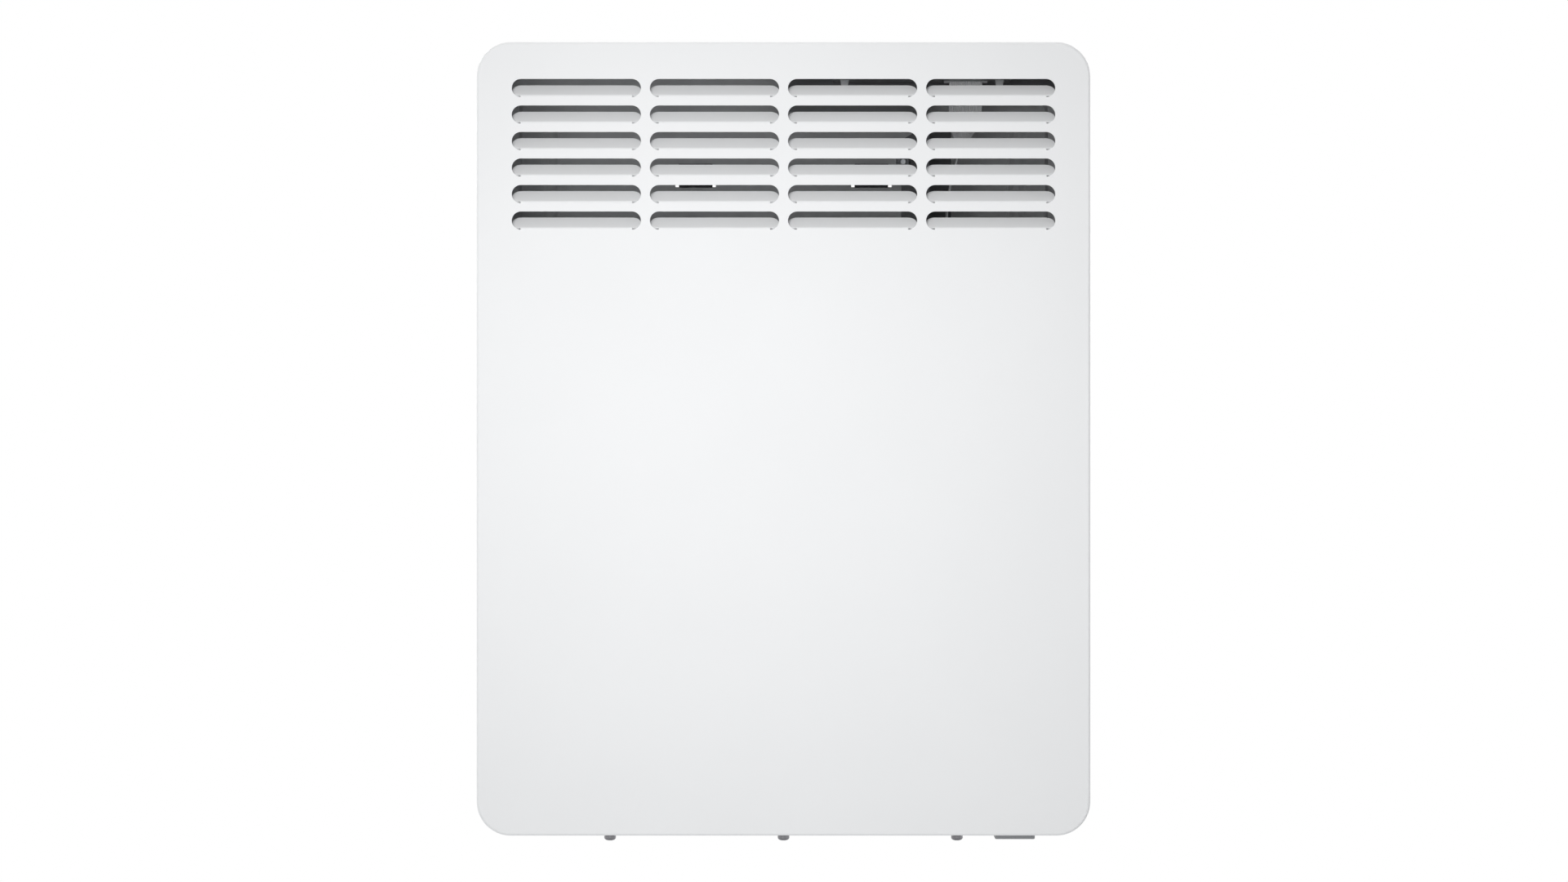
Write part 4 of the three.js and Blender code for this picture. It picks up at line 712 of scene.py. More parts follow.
# ------------------------------------------------------------------ rear panel
def rear_panel():
    low, high = box("rear_panel")
    width, height = high.x - low.x, high.z - low.z
    middle = (low + high) / 2
    rim_y = low.y + RIM_SETBACK
    bm = bmesh.new()
    pan = (width - 2 * PAN_SIDE_MARGIN, height - 2 * PAN_END_MARGIN)
    floor = plate(bm, *pan, PAN_CORNER_RADIUS, 8, (0, middle.z))
    move(bm, [floor], back_plane(PAN_BACK_Y))
    floor_rim = floor.edges[:]
    wall_foot = raise_edges(bm, floor_rim, (0, rim_y - PAN_BACK_Y, 0))
    outer = rims(bm, [(0, middle.z, width, height, CORNER_RADIUS - COVER_SHEET - RIM_GAP)])
    move(bm, outer, back_plane(rim_y))
    bmesh.ops.triangle_fill(bm, edges=wall_foot + outer, use_beauty=True, use_dissolve=False)
    raise_edges(bm, outer, (0, -RIM_SETBACK, 0))
    bm.normal_update()
    round_edges(bm, floor_rim, PAN_EDGE_RADIUS, 5)
    round_edges(bm, [e for e in outer if e.is_valid], RIM_EDGE_RADIUS, 3)

    gland = centre("cable_gland")
    windows = [
        (side * HOOK_X, z + WINDOW_RISE + (WINDOW_SIZE[1] + extra) / 2,
         WINDOW_SIZE[0], WINDOW_SIZE[1] + extra, WINDOW_CORNER)
        for side in (-1, 1) for z, extra in ((0, 0), (-LOWER_RAIL_DROP, LOWER_WINDOW_EXTRA))]
    holes = windows + [(-gland.x, gland.z, GLAND_HOLE, GLAND_HOLE, GLAND_HOLE / 2)]
    beads = [bead(bm, side, middle.z, pan[1]) for side in (-1, 1)]
    pierce(
        bm, flat_face(bm, (0, 1, 0)), back_plane(PAN_BACK_Y), holes, 6,
        [e for edges in beads for e in edges])
    weld(bm, (0, 1, 0))
    piece(
        "stepped_rear_panel", bm, REAR_COAT, "heater",
        [sheet_of(REAR_SHEET)], ["rear_panel"])


def bead(bm, side, middle_z, pan_height):
    """A stiffening bead pressed out of the pan's floor in rising steps. Gives back its foot's edges."""
    face = plate(
        bm, BEAD_WIDTH, pan_height - 2 * BEAD_END_MARGIN, BEAD_WIDTH / 2, 8, (side * BEAD_X, middle_z))
    move(bm, [face], back_plane(PAN_BACK_Y))
    foot = face.edges[:]
    for inset, rise in BEAD_STEPS:
        bmesh.ops.inset_individual(bm, faces=[face], thickness=inset, depth=rise, use_even_offset=True)
    return foot


def welded_studs():
    """Threaded studs that carry the electronics carrier and the earth connection."""
    bm = bmesh.new()
    profile = [(0, 0), (1.5, 0), (STUD_RADIUS, 0.4)]
    for turn in range(11):
        profile += [(STUD_RADIUS, 0.5 + turn * 0.6), (1.55, 0.8 + turn * 0.6)]
    profile += [(STUD_RADIUS, STUD_LENGTH), (0, STUD_LENGTH)]
    for nut in ("carrier_nut_upper", "carrier_nut_lower", "earth_nut"):
        at = centre(nut)
        foot = Matrix.Translation((at.x, PAN_BACK_Y - REAR_SHEET - STUD_LENGTH, at.z))
        turned(bm, profile, foot @ Matrix.Rotation(-QUARTER, 4, "X"), 24)
    weld(bm)
    piece("welded_studs", bm, ZINC, "heater")


# ------------------------------------------------------------------ wall bracket
def wall_bracket():
    low, high = box("wall_bracket")
    half = BRACKET_SHEET / 2
    bm = bmesh.new()
    for z in (0.0, -LOWER_RAIL_DROP):
        top, bottom = z + RAIL_HEIGHT / 2 - half, z - RAIL_HEIGHT / 2 + half
        section = [(-RAIL_DEPTH / 2, bottom), (-half, bottom), (-half, top), (-RAIL_DEPTH, top)]
        folded(bm, section, RAIL_BEND, (low.x, high.x))
        plate_face = [
            f for f in bm.faces
            if abs(f.calc_center_median().z - z) < 0.5 and abs(f.normal.y) > 0.9]
        pierce(
            bm, plate_face[0], front_plane(-half),
            [(side * WALL_SLOT_X, z, *WALL_SLOT, WALL_SLOT[1] / 2) for side in (-1, 1)])
        for side in (-1, 1):
            hook(bm, side * HOOK_X, z)
    spine_height = LOWER_RAIL_DROP - RAIL_HEIGHT + 2 * SPINE_LAP
    spine = plate(bm, SPINE_WIDTH, spine_height, 0, 1, (0, -LOWER_RAIL_DROP / 2))
    move(bm, [spine], front_plane(-half))
    bmesh.ops.recalc_face_normals(bm, faces=bm.faces[:])
    piece(
        "coated_wall_bracket", bm, BRACKET_COAT, "bracket",
        [("SOLIDIFY", {"thickness": BRACKET_SHEET, "offset": 0}),
         broken_edges(0.15, 1)], ["wall_bracket"])


def hook(bm, x, rail_z):
    """A hook that stands up behind a window, runs forward through it and turns up in front of the pan."""
    half = BRACKET_SHEET / 2
    low, high = box("wall_bracket")
    tip_top = high.z + rail_z
    run = tip_top - HOOK_TIP_RISE - half
    folded(
        bm,
        [(-RAIL_DEPTH + half, rail_z + RAIL_HEIGHT / 2 - half), (-RAIL_DEPTH + half, run),
         (low.y + half, run), (low.y + half, tip_top)],
        HOOK_BEND, (x - HOOK_WIDTH / 2, x + HOOK_WIDTH / 2))


# ------------------------------------------------------------------ fasteners
def cross_cutter(at, depth):
    """The driver recess of a cross head screw: two tapered wings."""
    bm = bmesh.new()
    for turn in (0, QUARTER):
        base, far = raised(bm, plate(bm, RECESS_WIDTH, RECESS_WING), depth)
        bmesh.ops.scale(bm, vec=RECESS_TAPER, verts=far)
        bmesh.ops.rotate(bm, matrix=Matrix.Rotation(turn, 3, "Z"), verts=verts_of(base) + far)
    move(bm, bm.verts[:], Matrix.Translation(at))
    bmesh.ops.recalc_face_normals(bm, faces=bm.faces[:])
    mesh = bpy.data.meshes.new("cross_cutter")
    bm.to_mesh(mesh)
    bm.free()
    return bpy.data.objects.new("cross_cutter", mesh)


def screw_profile(radius, head, length):
    """A domed rim over a grooved grip and a threaded shank, as on captive panel screws."""
    grip = radius - SCREW_GRIP_DEPTH
    profile = [
        (0, 0), (radius * 0.3, 0.04), (radius * 0.55, 0.2), (radius * 0.76, 0.5), (radius * 0.91, 0.93),
        (radius, 1.45), (radius, 2.9), (grip, 3.1)]
    for groove in range(4):
        profile += [
            (grip, 3.4 + groove), (radius, 3.55 + groove), (radius, 4.15 + groove), (grip, 4.3 + groove)]
    profile += [(grip, head), (SCREW_SHANK, head)]
    for turn in range(6):
        profile += [
            (SCREW_THREAD_ROOT, head + 1.0 + turn * 1.2), (SCREW_SHANK, head + 1.6 + turn * 1.2)]
    return profile + [(1.2, length), (0, length)]


def cover_screws():
    for side in ("left", "middle", "right"):
        node = f"cover_screw_{side}"
        low, high = box(node)
        at = centre(node)
        head = box("front_cover")[0].z - low.z - SEAT_GAP
        bm = bmesh.new()
        profile = screw_profile((high.x - low.x) / 2, head, high.z - low.z)
        turned(bm, profile, Matrix.Translation((at.x, at.y, low.z)))
        weld(bm)
        cutter = cross_cutter((at.x, at.y, low.z - 0.2), RECESS_DEPTH)
        bpy.context.scene.collection.objects.link(cutter)
        cut = {"object": cutter, "operation": "DIFFERENCE", "solver": "EXACT", "use_self": True}
        piece(
            f"cross_screw_{side}", bm, SCREW_STEEL, "heater", [("BOOLEAN", cut)], [node])
        bpy.data.objects.remove(cutter)


def hex_nuts():
    for node, name in (
            ("carrier_nut_upper", "upper_hex_nut"), ("carrier_nut_lower", "lower_hex_nut"),
            ("earth_nut", "earth_hex_nut")):
        low, high = box(node)
        at = centre(node)
        height = high.y - low.y
        washer = height - NUT_WASHER_HEIGHT
        bm = bmesh.new()
        profile = [
            (NUT_BORE, 0), (2.3, 0), (3.3, 0), (NUT_CORNER, 0.42), (NUT_CORNER, washer - 0.1),
            (NUT_WASHER_RADIUS, washer), (NUT_WASHER_RADIUS, height), (NUT_BORE, height), (NUT_BORE, 0)]
        turned(bm, profile, Matrix.Translation((at.x, low.y, at.z)) @ Matrix.Rotation(-QUARTER, 4, "X"), 48)
        weld(bm)
        for side in range(6):
            press_flat(bm, at, side * math.pi / 3 + math.pi / 6, low.y + washer - 0.05)
        piece(name, bm, NUT_STEEL, "heater", replaces=[node], sharp=25)


def press_flat(bm, at, angle, washer_y):
    """Presses one spanner flat into a round nut, down to the washer at its foot."""
    flat = Vector((math.cos(angle), 0, math.sin(angle)))
    for v in bm.verts:
        reach = (v.co - at).dot(flat)
        if reach > NUT_FLAT and v.co.y < washer_y:
            v.co -= flat * (reach - NUT_FLAT)


# ------------------------------------------------------------------ mains switch
def bezel_height():
    """How far the switch's frame stands below the casing."""
    return box("front_cover")[0].z - box("mains_switch_body")[0].z - SEAT_GAP


def switch_bezel():
    low, high = box("mains_switch_body")
    at = centre("mains_switch_body")
    bm = bmesh.new()
    ring = rims(bm, [(at.x, at.y, high.x - low.x, high.y - low.y, 1.2)], 5)
    pocket = rims(bm, [(at.x, at.y, *SWITCH_POCKET, 0.5)], 3)
    bmesh.ops.triangle_fill(bm, edges=ring + pocket, use_beauty=True)
    move(bm, ring + pocket, level(low.z))
    outer = raise_edges(bm, ring, (0, 0, bezel_height()))
    bmesh.ops.scale(
        bm, vec=SWITCH_FLARE, verts=verts_of(outer), space=Matrix.Translation((-at.x, -at.y, 0)))
    raise_edges(bm, pocket, (0, 0, SWITCH_POCKET_DEPTH))
    round_edges(bm, ring, 0.5, 3)
    bmesh.ops.recalc_face_normals(bm, faces=bm.faces[:])
    weld(bm, (0, 0, -1))
    piece("switch_bezel", bm, GREY_PLASTIC, "heater", [sheet_of(SWITCH_WALL)])


def switch_body():
    """The body above the frame, cut from the CAD piece."""
    low = box("mains_switch_body")[0]
    bm = copied("mains_switch_body")
    bmesh.ops.bisect_plane(
        bm, geom=bm.verts[:] + bm.edges[:] + bm.faces[:], plane_co=(0, 0, low.z + bezel_height() + 0.6),
        plane_no=(0, 0, -1), clear_outer=True)
    piece("switch_body", bm, BLACK_PLASTIC, "heater", [broken_edges(0.25)], ["mains_switch_body"])


def mains_rocker():
    softened("mains_rocker", "switch_rocker", BLACK_PLASTIC, 0.5, "rocker")


# ------------------------------------------------------------------ heating element
def heating_element():
    softened("heating_element", "finned_extrusion", FIN_ALUMINIUM, 0.35)
    low, high = box("heating_rod")
    at = centre("heating_rod")
    bm = bmesh.new()
    length = high.x - low.x
    profile = [(0, 0), (ROD_RADIUS, 0), (ROD_RADIUS, length), (0, length)]
    turned(bm, profile, Matrix.Translation((low.x, at.y, at.z)) @ TO_RIGHT, 40, 0.4)
    weld(bm)
    piece("sheathed_rod", bm, SHEATH, "heater", replaces=["heating_rod"])
    for side, way in (("left", TO_LEFT), ("right", TO_RIGHT)):
        rubber_bush(side)
        moulded_boot(side, way)
        softened(f"element_support_{side}", f"bent_support_{side}", ZINC, 0.2)
        softened(f"support_rivet_{side}", f"pan_rivet_{side}", ZINC, 0.15)


def rubber_bush(side):
    """A bush with a groove for the support's sheet."""
    node = f"support_bush_{side}"
    low, high = box(node)
    outer = (high.z - low.z) / 2
    groove = outer - 1.6
    bore = ROD_RADIUS + 0.2
    bm = bmesh.new()
    profile = [
        (bore, -3), (outer, -3), (outer, -0.8), (groove, -0.8), (groove, 0.8), (outer, 0.8), (outer, 3),
        (bore, 3), (bore, -3)]
    turned(bm, profile, Matrix.Translation(centre(node)) @ TO_RIGHT, 40)
    weld(bm)
    piece(f"rubber_bush_{side}", bm, SILICONE, "heater", [broken_edges(0.4)], [node])


def moulded_boot(side, way):
    """The boot that closes the rod's end round its lead. It points outwards."""
    node = f"rod_boot_{side}"
    low, high = box(node)
    rod = centre("heating_rod")
    start = {"left": high.x, "right": low.x}[side]
    bm = bmesh.new()
    profile = [(0, 0), (5.6, 0), (5.6, 9.6), (4.4, 11.4), (2.6, 12.6), (2.4, 14), (0, 14)]
    turned(bm, profile, Matrix.Translation((start, rod.y, rod.z)) @ way, 40, 0.5)
    weld(bm)
    piece(f"moulded_boot_{side}", bm, SILICONE, "heater", replaces=[node])


# ------------------------------------------------------------------ ribbon cable
def smooth(value, low, high):
    t = min(max((value - low) / (high - low), 0.0), 1.0)
    return t * t * (3 - 2 * t)


def smoother(value, low, high):
    t = min(max((value - low) / (high - low), 0.0), 1.0)
    return t ** 3 * (t * (6 * t - 15) + 10)


def ribbon_cable():
    """Fifteen wires that swell out of a thin web, hung from the control unit and turned edge-on below."""
    low, high = box("ribbon_cable")
    header = centre("control_header")
    end_x = low.x + RIBBON_HALF_THICKNESS
    radius = RIBBON_PITCH / 2
    bm = bmesh.new()
    steps = RIBBON_WAYS * 6
    section = []
    for side in (1, -1):
        for i in range(steps + 1):
            u = (i / steps - 0.5) * side * RIBBON_WAYS * RIBBON_PITCH
            within = (u / RIBBON_PITCH + RIBBON_WAYS / 2) % 1.0
            swell = RIBBON_SWELL * math.sqrt(max(0.0, 1 - (2 * within - 1) ** 2))
            section.append(bm.verts.new((u, side * radius * (RIBBON_WEB + swell), high.z)))
    edges = [bm.edges.new(pair) for pair in zip(section, section[1:] + section[:1])]
    outline = [(v.co.x, v.co.y) for v in section]
    for station in range(RIBBON_STATIONS + 1):
        z = high.z + (low.z - high.z) * station / RIBBON_STATIONS
        if station:
            made = bmesh.ops.extrude_edge_only(bm, edges=edges)["geom"]
            section = matched(made, section)
            front = set(section)
            edges = [g for g in made if isinstance(g, bmesh.types.BMEdge) and set(g.verts) <= front]
        angle = smooth(RIBBON_TWIST_TOP - z, 0, RIBBON_TWIST_TOP - RIBBON_TWIST_END) * QUARTER
        drift = smoother(RIBBON_DRIFT_TOP - z, 0, RIBBON_DRIFT_TOP - RIBBON_DRIFT_END)
        x = header.x + (end_x - header.x) * drift
        for v, (across, through) in zip(section, outline):
            v.co = Vector((
                x + across * math.cos(angle) - through * math.sin(angle),
                header.y + across * math.sin(angle) + through * math.cos(angle), z))
    bmesh.ops.holes_fill(bm, edges=[e for e in bm.edges if e.is_boundary], sides=0)
    weld(bm)
    piece("fifteen_way_ribbon", bm, RIBBON_PVC, "heater",
          replaces=["ribbon_cable"], sharp=60)


def matched(made, section):
    """The extruded copies of a section's vertices, in the section's own order."""
    new = {g for g in made if isinstance(g, bmesh.types.BMVert)}
    return [next(e.other_vert(v) for e in v.link_edges if e.other_vert(v) in new) for v in section]


# ------------------------------------------------------------------ control unit
def fascia():
    """The control panel let into the casing's top: a plate, a flange under the sheet and a lens ledge."""
    low, high = box("control_fascia")
    at = centre("control_fascia")
    window = centre("display_lens")
    width, depth = FASCIA_SIZE[0] - 2 * FASCIA_GAP, FASCIA_SIZE[1] - 2 * FASCIA_GAP
    bm = bmesh.new()
    face = plate(bm, width, depth, FASCIA_CORNER - FASCIA_GAP, 8, (at.x, at.y))
    holes = [(*centre(f"key_{name}").xy, *KEY_HOLE, 1.0) for name in KEYS]
    pierce(bm, face, level(0), holes + [(window.x, window.y, *LENS_HOLE, 1.0)], 4)
    move(bm, bm.verts[:], level(high.z))
    weld(bm, (0, 0, 1))
    piece("fascia_plate", bm, WHITE_PLASTIC, "heater", [sheet_of(high.z - low.z), broken_edges(0.3, 3)],
          ["control_fascia"])
    ring_piece("fascia_flange", (at.x, at.y), (high.x - low.x, high.y - low.y, FLANGE_CORNER),
               (width - 1, depth - 1, 2), high.z - COVER_SHEET - SEAT_GAP)
    ring_piece("lens_ledge", (window.x, window.y), (*LENS_HOLE, 0), (*LENS_SIGHT, 1.0),
               high.z - LEDGE_DROP)


def ring_piece(name, at, outside, inside, z):
    """A level moulded ring, each of its outlines given as (width, depth, corner radius)."""
    bm = bmesh.new()
    face = plate(bm, *outside, 6, at)
    pierce(bm, face, level(0), [(*at, *inside)], 4)
    move(bm, bm.verts[:], level(z))
    weld(bm, (0, 0, 1))
    piece(name, bm, WHITE_PLASTIC, "heater", [sheet_of(1.0)])


def lens():
    low, high = box("display_lens")
    bm = bmesh.new()
    slab(bm, (high.x - low.x, high.y - low.y, high.z - low.z), centre("display_lens"), 0.9, 0.2)
    weld(bm)
    piece("smoked_window", bm, LENS, "heater", replaces=["display_lens"])


def key_mark(name, at, top):
    """A printed sign on a key: a bar, a cross, a ring with a stroke or a ring with a dot."""
    bm = bmesh.new()
    bars = {
        "down": [(0, 0, 3.2, 0.6)], "up": [(0, 0, 3.2, 0.6), (0, 0, 0.6, 3.2)],
        "standby": [(0, 1.1, 0.55, 1.7)], "mode": [(0, 0, 0.9, 0.9)]}[name]
    for x, y, width, height in bars:
        slab(bm, (width, height, 0.05), (at.x + x, at.y + y, top), 0.15)
    if name in ("standby", "mode"):
        turned(bm, [(1.25, 0), (1.75, 0), (1.75, 0.05), (1.25, 0.05), (1.25, 0)],
               Matrix.Translation((at.x, at.y, top - 0.025)), 40)
    weld(bm)
    return bm


def keys():
    for name in KEYS:
        node = f"key_{name}"
        low, high = box(node)
        at = centre(node)
        body = f"{name}_key"
        bm = bmesh.new()
        cap = (high.x - low.x - 2 * KEY_LIP, high.y - low.y - 2 * KEY_LIP)
        slab(bm, (*cap, high.z - low.z), at, 0.9, 0.35)
        slab(bm, (high.x - low.x, high.y - low.y, 1.0), (at.x, at.y, high.z - KEY_LIP_DROP), 1.2, 0.2)
        weld(bm)
        piece(f"{name}_key_cap", bm, WHITE_PLASTIC, body, replaces=[node])
        piece(f"{name}_key_mark", key_mark(name, at, high.z), MARK_INK, body)
        softened(f"{node}_switch", f"{name}_tact_switch", BLACK_PLASTIC, 0.2)


def housing_floor():
    """Height of the control box's underside, above the legs of the ribbon's header."""
    return box("control_header")[0].z + HEADER_LEG_HEIGHT


def control_housing():
    low, high = box("control_housing")
    floor = housing_floor()
    at = centre("control_housing")
    ribbon = centre("control_header")
    bm = bmesh.new()
    face = plate(bm, high.x - low.x, high.y - low.y, 1.5, 4, (at.x, at.y))
    raise_edges(bm, face.edges[:], (0, 0, high.z - floor))
    bm.normal_update()
    pierce(bm, face, level(0), [(ribbon.x, ribbon.y, *RIBBON_OPENING, 0.4)], 2)
    move(bm, bm.verts[:], level(floor))
    weld(bm, (0, 0, -1))
    piece("control_box", bm, HOUSING_AND_SHADE_PLASTIC, "heater", [sheet_of(HOUSING_WALL), broken_edges(0.3)],
          ["control_housing"])


def shade_sheet_round_control():
    """A dark grey sheet round the control unit, lipped at the back, with a skirt in front: painted shade, a
    sheet put where there is only shade under the control unit.
    """
    low, high = box("control_housing")
    at = centre("control_housing")
    back_y = low.y - SHIELD_FRONT_MARGIN + SHIELD_SIZE[1]
    bm = bmesh.new()
    face = plate(bm, *SHIELD_SIZE, 0, 1, (at.x, back_y - SHIELD_SIZE[1] / 2))
    back = max(face.edges, key=lambda e: e.verts[0].co.y + e.verts[1].co.y)
    raise_edges(bm, [back], (0, 0, -SHIELD_LIP))
    pierce(bm, face, level(0), [(at.x, at.y, high.x - low.x + 0.6, high.y - low.y + 0.6, 1.5)], 3)
    move(bm, bm.verts[:], level(SHIELD_Z))
    skirt = plate(bm, *SKIRT_SIZE, 1.5, 3, (at.x + SKIRT_OFFSET, SHIELD_Z - SKIRT_DROP))
    move(bm, [skirt], front_plane(back_y + SKIRT_GAP))
    weld(bm, (0, 0, -1))
    piece("shade_sheet_round_control", bm, HOUSING_AND_SHADE_PLASTIC, "heater", [sheet_of(SHIELD_SHEET)])


def snap_hooks():
    """The two snap hooks of the ribbon's cover, tapered to their tips, that hang below the control box."""
    at = centre("control_housing")
    ribbon = centre("control_header")
    width, depth, drop = SNAP_HOOK_SIZE
    bm = bmesh.new()
    for side in (-1, 1):
        base, far = raised(bm, plate(bm, width, depth, 0.3, 2), -drop)
        bmesh.ops.scale(bm, vec=SNAP_HOOK_TAPER, verts=far)
        place = (at.x + side * SNAP_HOOK_X, ribbon.y - SNAP_HOOK_FORWARD, housing_floor())
        bmesh.ops.translate(bm, vec=place, verts=verts_of(base) + far)
    weld(bm)
    piece("snap_hooks", bm, HEADER_PLASTIC, "heater", [broken_edges(0.2)])


def ribbon_headers():
    """The header under the control box, with a ribbed leg at each end, and the one on the board."""
    low, high = box("control_header")
    at = centre("control_header")
    floor = housing_floor()
    bm = bmesh.new()
    slab(bm, (*HEADER_SIZE, high.z - floor), (at.x, at.y, (high.z + floor) / 2), 0.4, 0.25)
    for side in (-1, 1):
        for size, reach, height in HEADER_LEG_BLOCKS:
            slab(bm, size, (at.x + side * reach, at.y, low.z + height), 0.3, 0.2)
    weld(bm)
    piece("ribbon_header", bm, HEADER_PLASTIC, "heater", replaces=["control_header"])
    softened("board_header", "board_socket", WHITE_PLASTIC, 0.3)


# ------------------------------------------------------------------ carrier and inner pieces
def carrier_wall_x():
    return box("electronics_carrier")[0].x + CARRIER_WALL_OFFSET


def carrier_base():
    """The carrier's stepped foot on the pan, which its two nuts hold."""
    low, high = box("electronics_carrier")
    front = box("carrier_nut_upper")[1].y + SEAT_GAP
    upper, lower = centre("carrier_nut_upper"), centre("carrier_nut_lower")
    left, right = low.x + CARRIER_STEP, carrier_wall_x() + CARRIER_FOOT_REACH
    corners = [
        (left, low.z), (right, low.z), (right, high.z), (left + 10, high.z),
        (low.x, upper.z + 11.1), (low.x, upper.z - 13), (left, upper.z - 13), (left, lower.z + 13),
        (low.x, lower.z + 13), (low.x, lower.z - 9), (left, lower.z - 9)]
    bm = bmesh.new()
    verts = [bm.verts.new((x, front, z)) for x, z in corners]
    bm.faces.new(verts)
    bmesh.ops.bevel(
        bm, geom=verts, offset=1.2, segments=4, profile=0.5, affect="VERTICES", material=-1)
    face = bm.faces[:][0]
    hole = (CARRIER_NUT_HOLE, CARRIER_NUT_HOLE, CARRIER_NUT_HOLE / 2)
    pierce(bm, face, front_plane(front), [(nut.x, nut.z, *hole) for nut in (upper, lower)], 6)
    weld(bm, (0, -1, 0))
    piece("carrier_base", bm, CARRIER_COAT, "heater", [sheet_of(CARRIER_SHEET), broken_edges(0.15, 1)],
          ["electronics_carrier"])


def carrier_partition():
    """The upright sheet that carries the power board, with the grommet's hole."""
    low, high = box("electronics_carrier")
    front = box("carrier_nut_upper")[1].y + SEAT_GAP
    grommet = centre("wire_grommet")
    bm = bmesh.new()
    wall = plate(bm, front - low.y, high.z - low.z, 4, 5, ((front + low.y) / 2, (high.z + low.z) / 2))
    hole = (grommet.y, grommet.z, GROMMET_HOLE, GROMMET_HOLE, GROMMET_HOLE / 2)
    pierce(bm, wall, level(0), [hole], 8)
    move(bm, bm.verts[:], side_plane(carrier_wall_x() + CARRIER_SHEET))
    weld(bm, (1, 0, 0))
    piece("carrier_partition", bm, CARRIER_COAT, "heater", [sheet_of(CARRIER_SHEET), broken_edges(0.15, 1)])


def board_standoffs():
    low, high = box("power_board")
    foot_x = carrier_wall_x() + CARRIER_SHEET
    profile = [(0, 0), (2.6, 0), (2.6, 4.6), (1.3, 4.6), (1.3, 7.6), (0, 7.6)]
    bm = bmesh.new()
    for y in (low.y + STANDOFF_INSET, high.y - STANDOFF_INSET):
        for z in (low.z + STANDOFF_INSET, high.z - STANDOFF_INSET):
            turned(bm, profile, Matrix.Translation((foot_x, y, z)) @ TO_RIGHT, 24, 0.2)
    weld(bm)
    piece("board_standoffs", bm, BLACK_PLASTIC, "heater")


def board_pieces():
    for node, name, finish, width, slot in (
            ("power_board", "power_circuit", BOARD, 0.1, "circuit_board"),
            ("control_board", "control_circuit", BOARD, 0.1, "circuit_board"),
            ("display_module", "display_block", BLACK_PLASTIC, 0.3, "black_plastic"),
            ("relay", "relay_case", BLACK_PLASTIC, 0.5, "black_plastic"),
            ("transformer", "transformer_core", REAR_COAT, 0.6, "rear_sheet"),
            ("filter_capacitor", "capacitor_can", BLACK_PLASTIC, 0.6, "black_plastic"),
            ("triac_heat_sink", "heat_sink", FIN_ALUMINIUM, 0.25, "element_aluminium"),
            ("board_terminals", "screw_terminals", GREY_PLASTIC, 0.4, "grey_plastic"),
            ("overheat_cutout", "cutout_disc", BLACK_PLASTIC, 0.25, "black_plastic"),
            ("terminal_block", "inlet_terminals", CREAM_PLASTIC, 0.4, "white_plastic"),
            ("sensor_holder", "sensor_clip", WHITE_PLASTIC, 0.4, "white_plastic"),
            ("room_sensor", "sensor_bead", BLACK_PLASTIC, 0.5, "black_plastic")):
        softened(node, name, finish, width)


def inlet_gland():
    """The open cable gland in the pan, with its clamping nut inside."""
    low, high = box("cable_gland")
    at = centre("cable_gland")
    depth = high.y - low.y
    profile = [
        (3.6, 0), (10, 0), (10, 2.5), (7.4, 2.5), (7.4, 3.7), (9.4, 3.7), (9.4, 9.3), (5.6, depth),
        (3.6, depth), (3.6, 0)]
    bm = bmesh.new()
    turned(bm, profile, Matrix.Translation((at.x, high.y, at.z)) @ Matrix.Rotation(QUARTER, 4, "X"), 48)
    weld(bm)
    piece("moulded_gland", bm, BLACK_PLASTIC, "heater", [broken_edges(0.4, 3)],
          ["cable_gland"])


def wire_grommet():
    """A rubber ring that guards the leads where they pass the partition."""
    low, high = box("wire_grommet")
    half = (high.x - low.x) / 2
    profile = [
        (4.6, -half), (8, -half), (8, -0.8), (5.8, -0.8), (5.8, 0.8), (8, 0.8), (8, half), (4.6, half),
        (4.6, -half)]
    bm = bmesh.new()
    turned(bm, profile, Matrix.Translation(centre("wire_grommet")) @ TO_RIGHT, 40)
    weld(bm)
    piece("rubber_grommet", bm, SILICONE, "heater", [broken_edges(0.4, 3)], ["wire_grommet"])


def leads():
    """Insulated leads: the CAD routes, rounded by subdivision."""
    for node, finish, slot in (
            ("live_lead", BROWN_PVC, "brown_insulation"),
            ("switched_live_lead", BROWN_PVC, "brown_insulation"),
            ("neutral_lead", BLUE_PVC, "blue_insulation"),
            ("earth_lead", EARTH_PVC, "green_insulation"),
            ("element_feed_lead", SILICONE, "silicone"),
            ("element_cutout_lead", SILICONE, "silicone"),
            ("element_return_lead", SILICONE, "silicone"),
            ("sensor_lead", GREY_PVC, "grey_insulation")):
        rounded = ("SUBSURF", {"levels": 2, "render_levels": 2})
        piece(f"{node}_wire", copied(node), finish, "heater", [rounded], [node], 60)


# ------------------------------------------------------------------ stage
def camera():
    """Straight on, from 2.4 m in front of the casing, as a long lens sees it."""
    data = bpy.data.cameras.new("front_camera")
    data.sensor_width = 36.0
    data.lens = CAMERA_LENS
    data.clip_end = 20.0
    made = bpy.data.objects.new("front_camera", data)
    bpy.context.scene.collection.objects.link(made)
    made.location = Vector(CAMERA_PLACE) * MM
    made.rotation_euler = (QUARTER, 0, 0)
    bpy.context.scene.camera = made


def lamp(name, kind, place, aim, power, **settings):
    """A lamp at a place, in metres, turned towards another."""
    data = bpy.data.lights.new(name, kind)
    data.energy = power
    for key, value in settings.items():
        setattr(data, key, value)
    made = bpy.data.objects.new(name, data)
    bpy.context.scene.collection.objects.link(made)
    made.location = place
    made.rotation_euler = (Vector(aim) - Vector(place)).to_track_quat("-Z", "Y").to_euler()


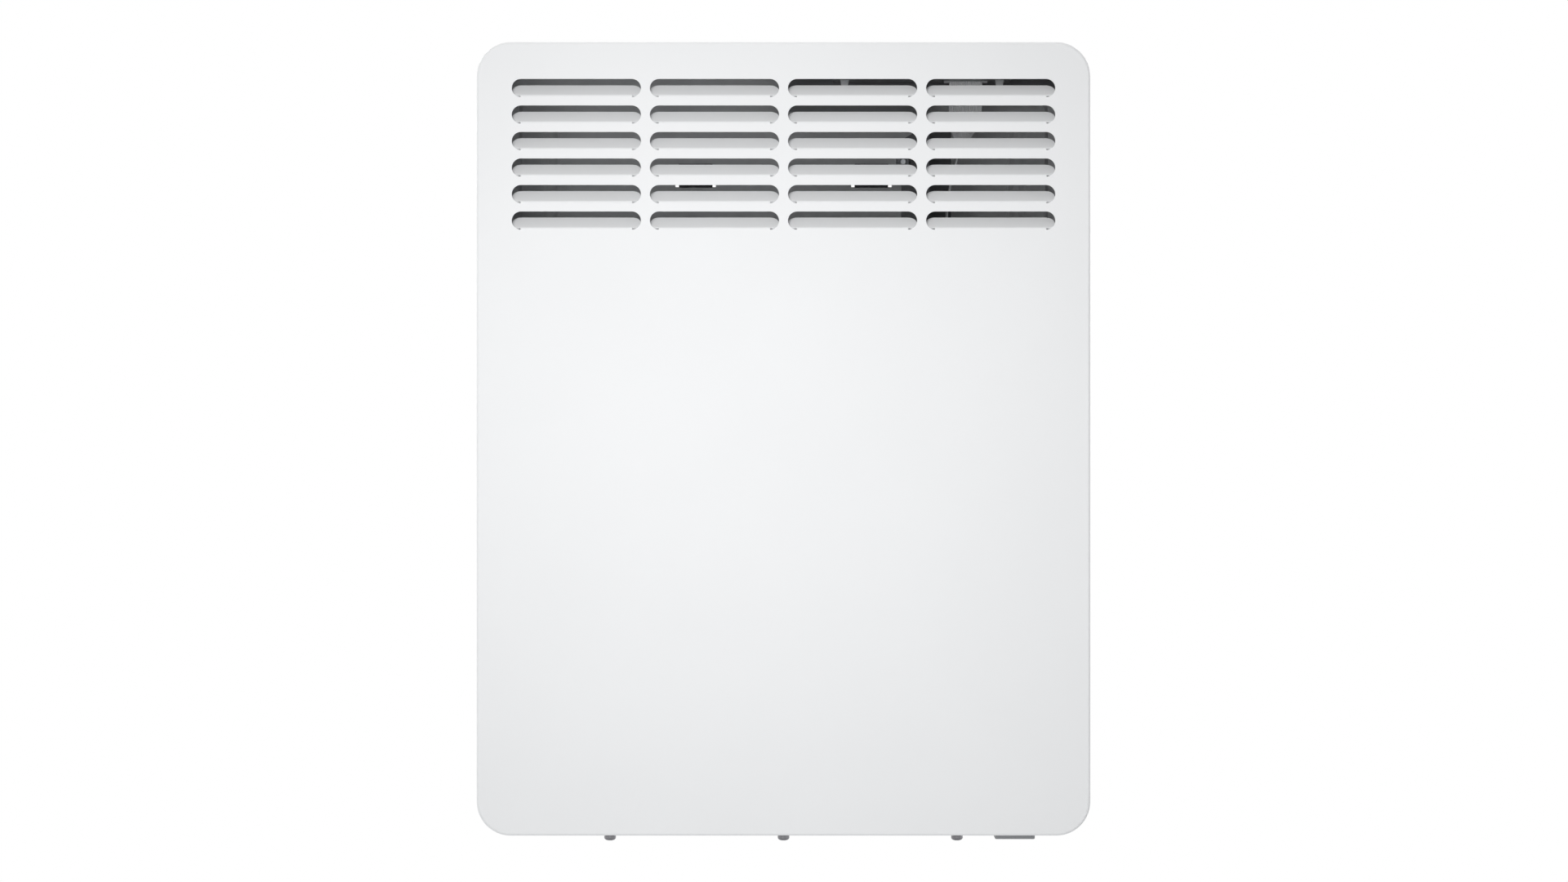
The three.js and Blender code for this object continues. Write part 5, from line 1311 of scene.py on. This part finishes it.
def white_ground():
    """Even grey light for the object, and a white ground for the camera, metal and glass."""
    world = bpy.data.worlds.new("studio")
    bpy.context.scene.world = world
    world.use_nodes = True
    tree = world.node_tree
    tree.nodes.clear()
    path = add(tree, "ShaderNodeLightPath")
    reflected = add(tree, "ShaderNodeMath", {
        0: path.outputs["Is Glossy Ray"], 1: path.outputs["Is Transmission Ray"]}, operation="MAXIMUM")
    seen = add(tree, "ShaderNodeMath", {
        0: path.outputs["Is Camera Ray"], 1: reflected.outputs[0]}, operation="MAXIMUM")
    strength = add(tree, "ShaderNodeMapRange", {
        "Value": seen.outputs[0], "To Min": 0.3, "To Max": 1.0})
    sky = add(tree, "ShaderNodeBackground", {
        "Color": (1.0, 1.0, 1.0, 1.0), "Strength": strength.outputs[0]})
    add(tree, "ShaderNodeOutputWorld", {"Surface": sky.outputs[0]})


def lamps():
    """A broad beam from the upper left, which fades towards the lower corners, and soft lamps all round."""
    lamp("beam", "SPOT", (-0.34, -1.7, 0.21), (-0.02, -0.1, -0.11), 86,
         spot_size=math.radians(46), spot_blend=1.0, shadow_soft_size=0.45)
    for name, place, power in (
            ("left_lamp", (-2.0, 0.6, 0.6), 8), ("right_lamp", (2.0, 0.6, 0.6), 6),
            ("left_back_lamp", (-1.1, 2.3, 0.7), 34), ("right_back_lamp", (1.3, 2.3, 0.4), 24),
            ("top_lamp", (0, 0.1, 2.2), 10)):
        lamp(name, "AREA", place, (0, -0.06, -0.135), power, size=1.2)


def pale_floor():
    """Painted concrete in two near tones, well below the heater, which hangs on its wall."""
    bm = bmesh.new()
    face = plate(bm, FLOOR_SIZE, FLOOR_SIZE)
    move(bm, [face], level(FLOOR_Z))
    mesh = bpy.data.meshes.new("floor")
    bm.to_mesh(mesh)
    bm.free()
    floor = bpy.data.objects.new("floor", mesh)
    bpy.context.scene.collection.objects.link(floor)
    material, tree, place = new_finish("pale_floor")
    dust = add(tree, "ShaderNodeTexNoise", {"Vector": place, "Scale": 6.0})
    tone = add(tree, "ShaderNodeMix", {
        0: dust.outputs["Fac"], 6: linear("#DFE0E1"), 7: linear("#E4E5E6")}, data_type="RGBA")
    surface(tree, {"Base Color": tone.outputs[2], "Roughness": 0.9})
    mesh.materials.append(material)


camera()
white_ground()
lamps()
pale_floor()
bpy.context.scene.view_settings.view_transform = "Standard"
front_cover()
rear_panel()
welded_studs()
wall_bracket()
cover_screws()
hex_nuts()
switch_bezel()
switch_body()
mains_rocker()
heating_element()
ribbon_cable()
fascia()
lens()
keys()
control_housing()
shade_sheet_round_control()
snap_hooks()
ribbon_headers()
carrier_base()
carrier_partition()
board_standoffs()
board_pieces()
inlet_gland()
wire_grommet()
leads()
